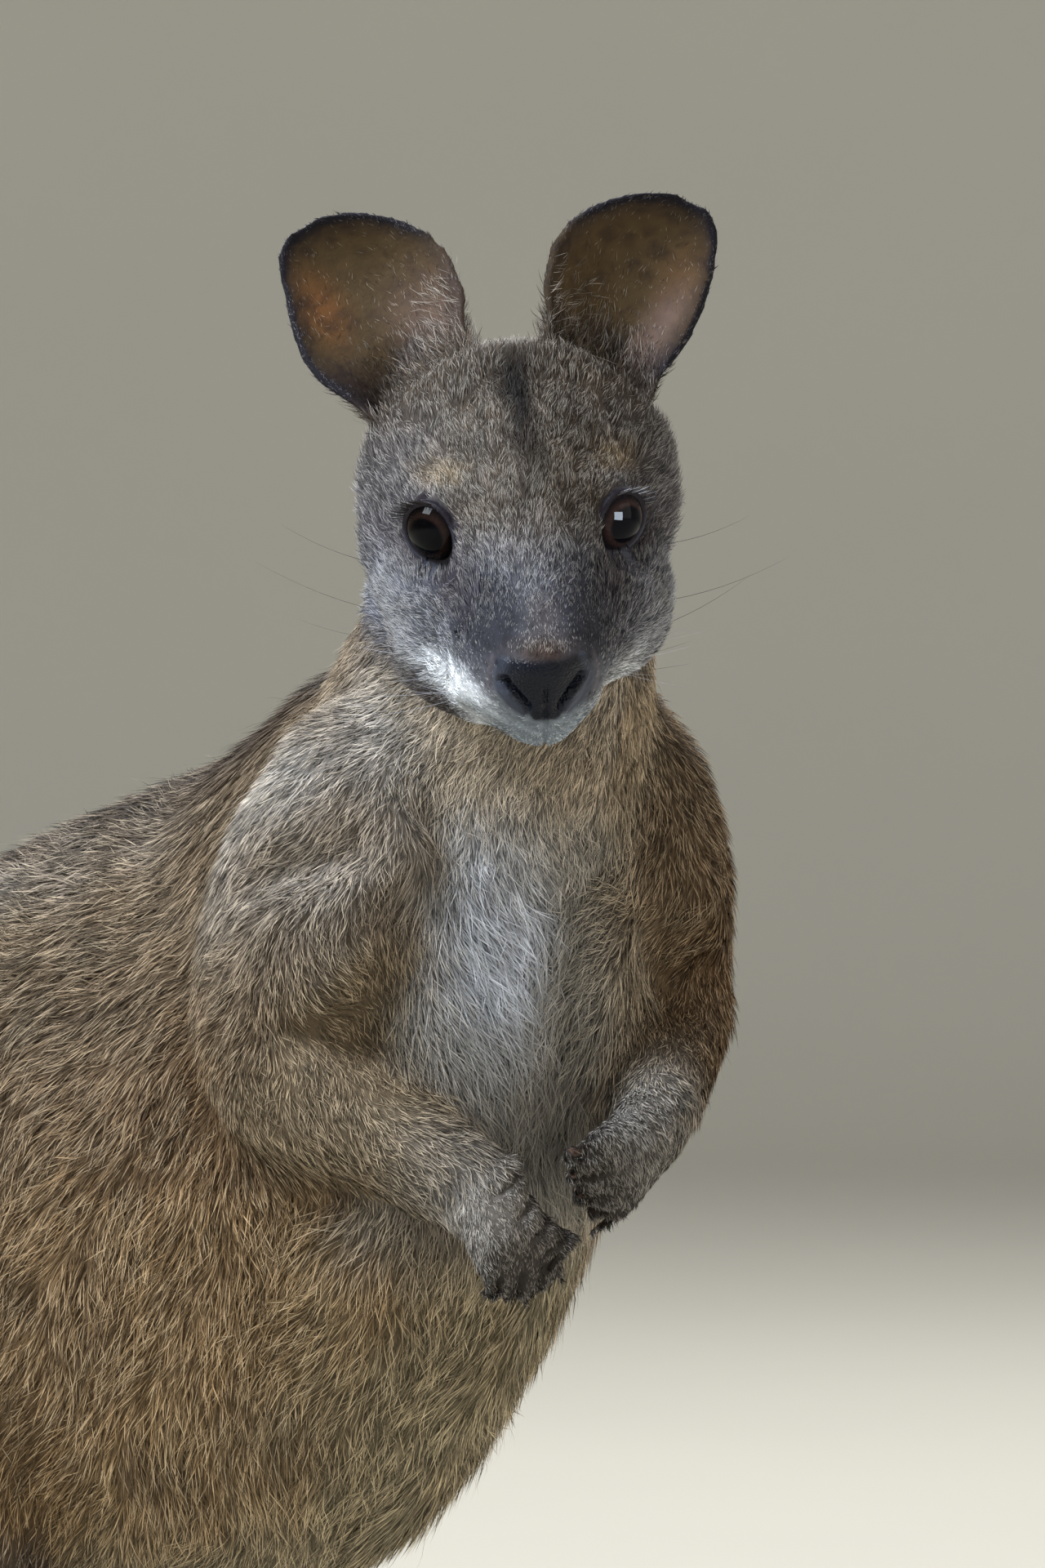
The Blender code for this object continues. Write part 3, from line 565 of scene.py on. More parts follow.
def open_lids(surface, side):
    """Lays the skin on the eyeball, cuts the opening and turns its edge in."""
    eye = eye_frame(side)
    reach, off, edge = eye_angles(side, surface.points)
    outside = reach < 17
    lid = EYE_RADIUS + LID_THICKNESS
    close = smooth_step(30, 3, off - edge) * smooth_step(17, 13, reach)
    rim = bump_at(off - edge, 3.0, 6.0) * 0.35
    crease = bump_at(off - edge, 12.0, 6.0) * 0.4
    wanted = reach * (1 - close) + (lid + rim - crease) * close
    ways = unit(surface.points - eye.origin)
    surface.points = np.where(
        outside[:, None], eye.origin + ways * wanted[:, None], surface.points
    )
    inside = outside & (off < edge)
    cut = inside[surface.triangles].all(1)
    triangles = surface.triangles[~cut]
    ends = triangles[:, [0, 1, 1, 2, 2, 0]].reshape(-1, 2)
    ordered = np.sort(ends, axis=1)
    key = ordered[:, 0] * len(surface.points) + ordered[:, 1]
    _, first, count = np.unique(key, return_index=True, return_counts=True)
    border = ends[first[count == 1]]
    border = border[(reach[border] < 17).all(1)]
    ring = np.unique(border)
    local = eye.local(surface.points[ring])
    bearing = np.arctan2(local[:, 1], local[:, 0])
    _, _, edges = eye_angles(side, surface.points[ring])
    rows = []
    for extra, radius in ((0.0, lid + 0.1), (-1.6, lid - 0.35), (-2.4, EYE_RADIUS - 0.5)):
        angle = np.radians(edges + extra)
        way = np.stack(
            [np.cos(bearing) * np.sin(angle), np.sin(bearing) * np.sin(angle), np.cos(angle)],
            axis=1,
        )
        rows.append(eye.origin + way @ eye.axes * radius)
    points = surface.points.copy()
    points[ring] = rows[0]
    extra_faces = []
    previous = np.arange(len(points))
    for row in rows[1:]:
        fresh = np.zeros_like(previous)
        fresh[ring] = len(points) + np.arange(len(ring))
        points = np.concatenate([points, row])
        a, b = border[:, 0], border[:, 1]
        extra_faces.append(np.stack([previous[b], previous[a], fresh[a]], axis=1))
        extra_faces.append(np.stack([previous[b], fresh[a], fresh[b]], axis=1))
        previous = fresh
    used = np.zeros(len(points), bool)
    triangles = np.concatenate([triangles, *extra_faces])
    used[triangles] = True
    index = np.cumsum(used) - 1
    return Surface(points[used], index[triangles])


def thinned(surface, triangles):
    """The same form with fewer faces."""
    obj = mesh_object("thinning", surface.points, surface.triangles)
    ratio = min(triangles / len(surface.triangles), 1.0)
    return Surface(*modified(obj, "DECIMATE", ratio=ratio, use_collapse_triangulate=True))


def relaxed(surface, weights, times):
    """Evens out the form, facets too, most where the weights are highest."""
    obj = mesh_object("relaxing", surface.points, surface.triangles)
    group = obj.vertex_groups.new(name="amount")
    levels = np.round(weights * 100).astype(int)
    for level in np.unique(levels):
        group.add(np.flatnonzero(levels == level).tolist(), level / 100, "REPLACE")
    return Surface(*modified(obj, "SMOOTH", factor=0.5, iterations=times, vertex_group="amount"))


def region_shares(surface):
    """How far each point belongs to each of REGIONS, eased across their borders."""
    shares = np.eye(len(REGIONS))[nearest_regions(surface.points)]
    return surface.blurred(shares, BLEND_STEPS)


def fuller_forms(surface):
    """Domes the crown in front of the ears, rounds the hands and widens the ears' lower edges."""
    points = surface.points
    skull = SKULL.local(points)
    side, front, rise = skull.T
    dome = 47.0 - 0.0150 * side**2 - 0.006 * (front + 12) ** 2
    owners = np.array(list(REGIONS))[nearest_regions(points)]
    ears = surface.blurred((owners == "ear").astype(float), 2)
    over = rise - dome
    sunk = np.where((over > -3) & (front > -45), (over + 3) ** 2 / (over + 6), 0)
    sunk = surface.blurred(sunk * (1 - ears), 3)
    sunk *= smooth_step(22, 30, rise) * smooth_step(-46, -34, front)
    points = points - sunk[:, None] * SKULL.axes[2]
    side, front, rise = SKULL.local(points).T
    temple = bump_at(rise, -8, 17) * smooth_step(-24, -36, side) * smooth_step(-40, -20, front)
    temple *= surface.blurred((owners == "head").astype(float), 3)
    points = points - (temple * 4.2)[:, None] * SKULL.axes[0]
    screen = on_screen(side, rise)
    jaw, along = along_path(screen, ((-28, -30, 0), (-21, -36, 0), (-15, -41, 0), (-8, -46, 0)), 11)
    jaw *= 1 - 0.75 * smooth_step(0.5, 1, along)
    jaw *= smooth_step(-16, 4, front) * smooth_step(48, 34, FACE.local(points)[:, 1])
    jaw *= surface.blurred((owners != "neck").astype(float), 3)
    points = points + (jaw * 7.5)[:, None] * SKULL.way(-0.4, 0.1, -0.9)
    for name, widening in EAR_WIDENING.items():
        ear = ear_frame(name)
        lateral = SKULL.axes[0] * SIGNS[name]
        local = ear.local(points)
        out = local[:, 0] * (ear.axes[0] @ lateral)
        push = bump_at(local[:, 2] / EAR_LENGTH, 0.34, 0.5) * smooth_step(-4, 12, out)
        own = ears * beside(points, SIGNS[name])
        across = ear.axes[0] * np.sign(ear.axes[0] @ lateral)
        points = points + (push * own * widening)[:, None] * across
    limbs = surface.blurred(np.isin(owners, ("hand", "forearm")).astype(float), 4)
    for name, path in ARMS.items():
        joints = np.array([CHEST.world(place) for place in path])
        share = down_arm(points, path) * 2
        low = np.floor(np.clip(share, 0, 1.999)).astype(int)
        nearest = joints[low] + (joints[low + 1] - joints[low]) * (share - low)[:, None]
        away = points - nearest
        reach = np.linalg.norm(away, axis=1)
        swell = (WRIST_SWELL[name] - 1) * smooth_step(0.35, 1.0, share)
        swell = swell * smooth_step(19, 13, reach) * limbs
        points = points + away * swell[:, None]
    surface.points = points


def build_skin():
    surface = fused_skin()
    fuller_forms(surface)
    surface.smooth(np.ones(len(surface.points)), 5)
    values = region_shares(surface) @ REGION_TABLE
    surface = relaxed(surface, values[:, 0], SKIN_RELAXING)
    normals = surface.blurred(surface.normals(), 6)
    surface.points = surface.points - unit(normals) * (values[:, 1] + SKIN_GROWTH)[:, None]
    surface.points[:, 2] = np.maximum(surface.points[:, 2], SKIN_FLOOR)
    surface.smooth(np.minimum(values[:, 0] * 3, 1), 10)
    surface = thinned(surface, SKIN_TRIANGLES)
    surface = finer(surface, 17, 30, 34)
    surface = finer(surface, 13, 9, 44)
    shape_face(surface)
    part_fingers(surface)
    for side in SIGNS:
        surface = open_lids(surface, side)
    return surface


def unwrapped(obj):
    """Where each corner of each face lies on a flat unwrap of the object."""
    view = bpy.context.view_layer
    for other in view.objects:
        other.select_set(False)
    view.objects.active = obj
    obj.select_set(True)
    bpy.ops.object.mode_set(mode="EDIT")
    bpy.ops.mesh.select_all(action="SELECT")
    bpy.ops.uv.smart_project(angle_limit=math.radians(66), island_margin=0.002)
    bpy.ops.object.mode_set(mode="OBJECT")
    layer = obj.data.uv_layers.active
    layer.name = "OFBake"
    places = np.zeros(len(layer.data) * 2, np.float32)
    layer.data.foreach_get("uv", places)
    return places.reshape(-1, 3, 2)


# ---- markings -------------------------------------------------------------------------------


def shade(red, green, blue):
    """A colour as amounts of light, from its usual 0 to 255 values."""
    tone = np.array([red, green, blue]) / 255
    return np.where(tone <= 0.04045, tone / 12.92, ((tone + 0.055) / 1.055) ** 2.4)


PALETTE = {
    "back": shade(118, 100, 80),
    "ridge": shade(62, 57, 60),
    "flank": shade(106, 84, 60),
    # rufous fur behind the elbows, and painted shade on the far left arm
    "rust": shade(112, 84, 55),
    "ochre": shade(146, 118, 82),
    "belly": shade(150, 138, 112),
    # pale chest fur, made whiter and bluer as a painted highlight
    "chest_white": shade(188, 192, 202),
    "chest_grey": shade(140, 136, 130),
    "throat": shade(168, 150, 126),
    "crown": shade(84, 73, 63),
    "cheek": shade(108, 110, 121),
    "muzzle": shade(60, 61, 71),
    "white": shade(236, 240, 246),
    "band": shade(62, 57, 60),
    "stripe": shade(28, 23, 21),
    # near-black painted shade in the coat's partings and between its locks
    "gap": shade(20, 16, 15),
    # painted light: a pale tone laid on the lit shoulder and on the tops of the back and thighs
    "frost": shade(184, 178, 172),
    "socket": shade(58, 52, 60),
    "lid": shade(34, 29, 38),
    "buff": shade(156, 134, 100),
    "bridge": shade(102, 93, 94),
    # painted highlight: a lighter pinkish grey on the bridge of the nose
    "snout_brown": shade(86, 70, 64),
    "lip": shade(150, 160, 172),
    "nose": shade(15, 19, 31),
    # painted highlight along the nose's wings, and painted reflection on the wet rims of the lower lids
    "alar": shade(74, 80, 96),
    "pink_edge": shade(124, 112, 120),
    "ear_in": shade(82, 66, 44),
    "ear_orange": shade(122, 76, 40),
    "ear_deep": shade(50, 38, 32),
    "ear_pink": shade(116, 96, 88),
    "ear_rim": shade(26, 24, 32),
    "ear_out": shade(92, 80, 70),
    "fluff": shade(172, 164, 156),
    "fringe": shade(112, 108, 114),
    "hand": shade(74, 68, 64),
    "silver": shade(136, 132, 128),
    "forearm": shade(132, 116, 94),
    "foot": shade(98, 86, 75),
    "palm": shade(96, 72, 60),
    "tail": shade(112, 99, 84),
    "tail_top": shade(80, 72, 66),
    "tail_below": shade(150, 138, 120),
}

# The white stripe and the dark band under it, to the side and up in the skull's frame.
CHEEK_STRIPE = (
    (-36, -15, 0), (-31, -23.5, 0), (-26, -29.5, 0), (-21, -35.4, 0),
    (-16, -41.5, 0), (-11, -47.6, 0), (-5.2, -51.8, 0),
)  # fmt: skip
# Gaps in the coat behind the right elbow: side, back and height, then how big.
PARTINGS = (((-64, 84, 227), 8.0), ((-60, 69, 212), 6.0), ((-66, 96, 205), 4.5))
CHEEK_BAND = ((-38, -20, 0), (-35, -28, 0), (-29, -36, 0), (-22.5, -43, 0))


class Hide:
    """The colour at each point, with tones painted one over the other."""

    def __init__(self, tone, count):
        self.colours = np.tile(PALETTE[tone], (count, 1))

    def paint(self, tone, amount):
        self.colours += (PALETTE[tone] - self.colours) * np.clip(amount, 0, 1)[:, None]


def body_place(points):
    """Points measured from under the front of the chest: to the left, back and up."""
    return points - [CHEST.origin[0] + BODY_SHIFT, CHEST.origin[1], 0]


def body_markings(points, normals, share):
    left, _, height = CHEST.local(points).T
    side, back, _ = body_place(points).T
    facing = normals @ CHEST.axes[1]
    up = normals[:, 2]
    cloud, speck = ripple(points, 34, 3), ripple(points, 11, 4)
    hide = Hide("back", len(points))
    hide.paint("flank", smooth_step(260, 190, height) * (0.75 + 0.25 * cloud))
    elbow = np.hypot((height - 205) / 60, (back - 80) / 70)
    hide.paint("rust", smooth_step(1, 0.2, elbow) * (0.4 + 0.4 * speck))
    ridge = smooth_step(0.35, 0.9, up) * smooth_step(34, 8, np.abs(side)) * smooth_step(30, 80, back)
    hide.paint("ridge", ridge * (0.7 + 0.2 * speck))
    # Painted shade: near-black in the gaps behind the right elbow, where the hair is also shorter.
    for place, size in PARTINGS:
        gap = blob(body_place(points), place, (16, size * 1.4, size))
        hide.paint("gap", np.minimum(gap * 2.6, 1))
    tail = summed(share, "tail_base tail_middle tail_tip")
    hide.paint("tail", tail)
    hide.paint("tail_top", tail * smooth_step(0.2, 0.9, up) * 0.8)
    hide.paint("tail_below", tail * smooth_step(-0.1, -0.8, up) * 0.9)
    legs = summed(share, "shank foot")
    hide.paint("foot", legs * 0.85)
    trunk = summed(share, "belly_and_hips chest neck thigh")
    under = smooth_step(-0.05, 0.65, facing + 0.9 * smooth_step(0, -0.6, up)) * trunk
    middle = np.abs(side + 0.12 * (back - 20)) + 7 * cloud + 3 * speck
    rim = smooth_step(70, 32, middle) * under * smooth_step(215, 180, height)
    hide.paint("ochre", rim * 0.85)
    pale = smooth_step(42, 14, middle) * under * smooth_step(208, 176, height)
    hide.paint("belly", pale * (0.88 + 0.12 * cloud))
    breast = smooth_step(0.0, 0.5, facing) * trunk * smooth_step(165, 200, height)
    breast *= smooth_step(44, 34, np.abs(left))
    hide.paint("chest_grey", breast)
    hide.paint("throat", breast * smooth_step(278, 296, height))
    hide.paint("throat", breast * smooth_step(14, 30, left) * 0.8)
    # Pale chest fur on the lit right side, painted whiter and bluer as its highlight.
    patch = blob(on_screen(left, height), (-15, 260, 0), (25, 44, 1))
    hide.paint("chest_white", np.minimum(patch * 1.3, 1) * breast)
    hide.paint("forearm", share["forearm"] * 0.8)
    # Painted light: the shoulder on the lit right side made paler.
    lit_shoulder = smooth_step(225, 290, height) * (share["upper_arm"] + share["neck"] * 0.6)
    hide.paint("frost", lit_shoulder * (0.5 + 0.25 * cloud) * (side < 0))
    # Painted shade: the far left arm, away from the light, darkened to a rust tone.
    shaded_far_arm = summed(share, "upper_arm forearm") * smooth_step(14, 60, left)
    shaded_far_arm *= smooth_step(320, 250, height)
    hide.paint("rust", shaded_far_arm * 0.75)
    # Painted shade: near-black streaks between the locks on the back, hips, thighs and upper arms, kept
    # off the underside.
    parting_shade = smooth_step(0.35, 0.9, ripple(points, 7, 51) * 0.7 + ripple(points, 3, 52) * 0.5)
    coarse = summed(share, "belly_and_hips thigh") + 0.7 * share["upper_arm"]
    hide.paint("gap", coarse * parting_shade * 0.62 * (1 - under))
    # Painted light: the upward-facing back and thighs made paler, as if lit from above.
    lit_tops = smooth_step(0.4, 0.9, up) * summed(share, "belly_and_hips thigh")
    hide.paint("frost", lit_tops * (1 - ridge) * (0.35 + 0.3 * cloud))
    for path in ARMS.values():
        down = down_arm(points, path)
        by_wrist = np.linalg.norm(points - CHEST.world(path[1]), axis=1) < 40
        limb = summed(share, "forearm hand") * by_wrist
        hide.paint("silver", 0.8 * smooth_step(0.25, 0.48, down) * limb)
        hide.paint("hand", smooth_step(0.55, 0.85, down) * limb)
    return hide


def face_markings(hide, points, normals, share):
    side, front, rise = SKULL.local(points).T
    head = np.clip(summed(share, "head nose eye") * 1.2, 0, 1)
    ahead = normals @ SKULL.axes[1]
    fleck, speck = ripple(points, 5, 8), ripple(points, 2.6, 9)
    screen = on_screen(side, rise)
    mirrored = screen * [-1, 1, 1]

    def spot(place, radii):
        return blob(screen, (*place, 0), (*radii, 1))

    hide.paint("crown", head)
    low = smooth_step(4, -16, rise)
    hide.paint("cheek", head * low * 0.9)
    outer = smooth_step(14, 26, np.abs(side)) * smooth_step(36, 8, rise)
    hide.paint("cheek", head * outer * 0.5)
    for sign in (-1, 1):
        hide.paint("muzzle", head * spot((sign * 13, -20), (15, 19)) * 1.6)
        hide.paint("socket", head * spot((sign * 24.5, -3.5), (12.5, 13)) * 1.5)
        hide.paint("socket", head * spot((sign * 19.5, -13), (9, 13)) * 0.9)
    for place in ((-20.5, 13), (22.5, 14.5)):
        hide.paint("buff", head * spot(place, (9, 6)) * 0.6)
    # Painted highlight on the bridge of the nose, strongest where the skin faces forward.
    hide.paint("bridge", head * spot((0.4, -21.5), (6.5, 9)) * ahead * 0.8)
    hide.paint("snout_brown", head * spot((-0.5, -29.5), (13, 6.5)) * 1.2 * ahead)
    stripe = bump_at(side + 1.2 * speck, 0.4 - 0.03 * rise, 6.0)
    stripe = stripe * smooth_step(2, 30, rise) * smooth_step(64, 46, rise)
    hide.paint("stripe", head * stripe * 1.25 * smooth_step(-12, 0, front))
    visible = smooth_step(-22, 0, front)
    # The far cheek's white stripe and dark band are painted at half strength: painted shade on the side
    # away from the light.
    for strip, strength in ((screen, 1.0), (mirrored, 0.5)):
        line, share_along = along_path(strip, CHEEK_STRIPE, 4.9)
        width = 0.12 + 0.95 * smooth_step(0.24, 0.52, share_along)
        width *= 0.8 + 0.35 * ripple(points, 3.5, 41)
        band, _ = along_path(strip, CHEEK_BAND, 7.0)
        hide.paint("band", head * band * 1.3 * visible * strength)
        hide.paint("white", head * line * 1.7 * width * visible * strength)
    lips = smooth_step(-44, -47, rise) * smooth_step(16, 11, np.abs(side))
    lips *= smooth_step(34, 42, FACE.local(points)[:, 1])
    hide.paint("lip", head * lips)
    chin = head * smooth_step(-0.2, -0.7, normals[:, 2]) * smooth_step(10, 30, front)
    hide.paint("lip", chin * 0.7)
    hide.colours *= (1 + (0.14 * fleck + 0.22 * speck) * head)[:, None]


def ear_edge(local, mine):
    """How near the ear's outline each point is, 1 at the outline."""
    centre = 0.5 * EAR_LENGTH
    bearing = np.arctan2(local[:, 2] - centre, local[:, 0])
    reach = np.hypot(local[:, 2] - centre, local[:, 0])
    bins = 72
    index = ((bearing / (2 * math.pi) + 0.5) * bins).astype(int) % bins
    limit = np.zeros(bins)
    np.maximum.at(limit, index[mine], reach[mine])
    limit = (np.roll(limit, 1) + 2 * limit + np.roll(limit, -1)) / 4
    return reach / np.maximum(limit[index], 1)


def ear_markings(hide, points, normals, share):
    """Paints the ears, and says how far each point is in their hollows and on their rims."""
    inside = np.zeros(len(points))
    rims = np.zeros(len(points))
    for side, sign in SIGNS.items():
        ear = ear_frame(side)
        local = ear.local(points)
        along = local[:, 2] / EAR_LENGTH
        near = beside(points, sign) & (along > -0.35)
        here = np.clip(share["ear"] * 1.8, 0, 1) * near
        edge = ear_edge(local, here > 0.6)
        hollow = smooth_step(-0.1, 0.3, normals @ ear.axes[1]) * smooth_step(-0.22, -0.08, along)
        medial = towards_crown(ear, local, sign)
        mottle = ripple(points, 7, 12) * 0.6 + ripple(points, 2.0, 13) * 0.9
        hide.paint("ear_out", here)
        hide.paint("ear_in", here * hollow)
        warm = blob(on_screen(along * 50, medial), (30, -10, 0), (17, 8, 1))
        warm *= 0.6 if side == "right" else 0.2
        hide.paint("ear_orange", here * hollow * warm)
        deep = smooth_step(0, -12, medial) * smooth_step(0.5, 0.1, along)
        deep = smooth_step(0.0, 0.9, mottle) * 0.6 + deep
        hide.paint("ear_deep", here * hollow * deep)
        if side == "right":
            pink = smooth_step(0.7, 0.2, along) * smooth_step(-5, 7, medial) * 0.7
        else:
            pink = 0.7 * bump_at(medial, -6 - 8 * along, 6) * smooth_step(0.75, 0.4, along)
        hide.paint("ear_pink", here * hollow * pink)
        rim = smooth_step(0.85, 0.93, edge) * smooth_step(0.0, 0.2, along)
        rim *= 1 - 0.75 * smooth_step(4, 9, medial) * smooth_step(0.75, 0.5, along)
        soft_rim = 0.45 * smooth_step(0.7, 0.9, edge) * hollow
        hide.paint("ear_rim", here * np.maximum(rim, soft_rim))
        inside = np.maximum(inside, here * hollow)
        rims = np.maximum(rims, here * rim)
    return inside, rims


def bare_skin(points, normals, share):
    """How bare each point is at the nose, the lids and the palms, and its colour there."""
    side, _, rise = SKULL.local(points).T
    reach_ahead = FACE.local(points)[:, 1]
    half = np.interp(rise, (-47, -45, -41, -36, -30), (2.0, 3.6, 6.8, 10.8, 12.0))
    top = -31.6 + 1.0 * smooth_step(2, 9, np.abs(side))
    ahead = smooth_step(42, 45, reach_ahead)
    pad = smooth_step(1.0, -0.6, np.abs(side) - half) * smooth_step(2.0, -1.2, rise - top)
    pad *= smooth_step(-47, -45.5, rise) * ahead
    screen = on_screen(np.abs(side), rise)
    wing, _ = along_path(screen, NOSE_WING, 2.3)
    ring, _ = along_path(screen, NOSE_RING, 1.2)
    hide = Hide("nose", len(points))
    wing *= ahead
    ring *= smooth_step(36, 42, reach_ahead)
    # Painted highlight: a bluish sheen along the nose's wings.
    hide.paint("alar", wing * 0.8 * (1 - pad * 0.4))
    hide.paint("pink_edge", ring * 0.5)
    bare = np.maximum(pad, np.maximum(wing * 1.3, ring * 0.6))
    for name in SIGNS:
        reach, off, edge = eye_angles(name, points)
        lid = smooth_step(13, 8, off - edge) * (reach < 14)
        hide.paint("lid", lid)
        # Painted reflection: a bluish line on the wet rim of each lower lid.
        below = smooth_step(0.2, -0.5, unit(points - eye_frame(name).origin) @ SKULL.axes[2])
        hide.paint("alar", bump_at(off - edge, 0.5, 2.6) * lid * below * 0.8)
        bare = np.maximum(bare, lid)
    inward = -normals @ CHEST.axes[1] * 0.6 - normals[:, 2] * 0.6
    palm = share["hand"] * smooth_step(0.2, 0.8, inward)
    sole = share["foot"] * smooth_step(-0.6, -0.9, normals[:, 2])
    hide.paint("palm", palm + sole)
    return np.clip(np.maximum(bare, 0.8 * palm + sole), 0, 1), hide.colours, pad


# ---- the lie of the coat --------------------------------------------------------------------


def spin_about(vectors, axes, angles):
    """Turns each vector about its axis."""
    cosines, sines = np.cos(angles)[:, None], np.sin(angles)[:, None]
    along = (vectors * axes).sum(1, keepdims=True) * axes
    return vectors * cosines + np.cross(axes, vectors) * sines + along * (1 - cosines)


def on_surface(vectors, normals):
    return unit(vectors - (vectors * normals).sum(1, keepdims=True) * normals)


def chest_way(left, back, down):
    return np.array([left, -back, -down]) @ CHEST.axes


def from_place(points, place):
    return unit(points - CHEST.world(place))


def lie_of_coat(surface, normals, share):
    points = surface.points
    sign = np.where(body_place(points)[:, 0] > 0, 1.0, -1.0)[:, None]
    down, tailward = np.array([0, 0, -1.0]), np.array([0, 1.0, 0])
    ways = {}
    head = unit(points - FACE.world((0, 56, -13)))
    ways["head"] = ways["nose"] = ways["eye"] = head
    facing = smooth_step(-0.2, 0.6, normals @ CHEST.axes[1])[:, None]
    nape = unit(tailward * 0.75 + down * 0.75)
    throat = unit(chest_way(0, 0, 1) + 0.25 * chest_way(1, 0, 0) * sign)
    ways["neck"] = nape * (1 - facing) + throat * facing
    swirls = []
    for place, reach in (((-42, -4, 250), 16), ((32, -6, 256), 14)):
        gap = np.linalg.norm(points - CHEST.world(place), axis=1)
        swirls.append(from_place(points, place) * np.exp(-gap / reach)[:, None] * 3.4)
    ways["chest"] = unit(swirls[0] + swirls[1] + down)
    arm, forearm = np.zeros_like(points), np.zeros_like(points)
    for name, path in ARMS.items():
        outward = SIGNS[name]
        mine = sign[:, 0] == outward
        crown = from_place(points, (outward * 20, -8, 322))
        lower = from_place(points, (outward * 40, -36, 300))
        arm[mine] = unit(crown * 0.9 + lower * 0.4 + down * 0.35 + tailward * 0.15)[mine]
        elbow, wrist = CHEST.world(path[0]), CHEST.world(path[1])
        forearm[mine] = unit(wrist - elbow) + 0.55 * down
        hand = CHEST.world(path[2]) - wrist
        ways.setdefault("hand", np.zeros_like(points))[mine] = unit(hand)
    ways["upper_arm"], ways["forearm"] = arm, forearm
    rosette = np.zeros_like(points)
    for outward in (-1, 1):
        mine = sign[:, 0] == outward
        rosette[mine] = from_place(points, (outward * 56, -30, 226))[mine]
    over = smooth_step(0.2, 0.9, normals[:, 2])[:, None]
    flank = rosette * 0.9 + down * 0.75 + tailward * 0.45
    belly = down + 0.3 * chest_way(1, 0, 0) * sign
    body = flank * (1 - facing) + belly * facing
    ways["belly_and_hips"] = body * (1 - over) + (tailward + 0.15 * down) * over
    ways["thigh"] = down * 0.85 + tailward * 0.45 + rosette * 0.15
    ways["shank"] = tailward * 0.75 + down * 0.66
    ways["foot"] = -tailward + 0.1 * down
    ways["tail_base"] = tailward + 0.45 * down
    ways["tail_middle"] = ways["tail_tip"] = tailward + 0.05 * down
    ears = np.zeros_like(points)
    for name in SIGNS:
        mine = (SKULL.local(points)[:, 0] > 0) == (name == "left")
        ears[mine] = ear_frame(name).axes[2]
    ways["ear"] = ears
    total = 0
    for name, way in ways.items():
        total = total + share[name][:, None] * unit(np.broadcast_to(way, points.shape))
    total = on_surface(surface.blurred(total, 16), normals)
    swirl = 0.42 * ripple(points, 46, 21) + 0.22 * ripple(points, 13, 22)
    calm = 1 - 0.6 * np.clip(summed(share, "head nose ear eye"), 0, 1)
    calm *= 1 - 0.6 * np.clip(summed(share, "hand foot tail_middle"), 0, 1)
    return spin_about(total, normals, swirl * calm)


# ---- tufts ----------------------------------------------------------------------------------


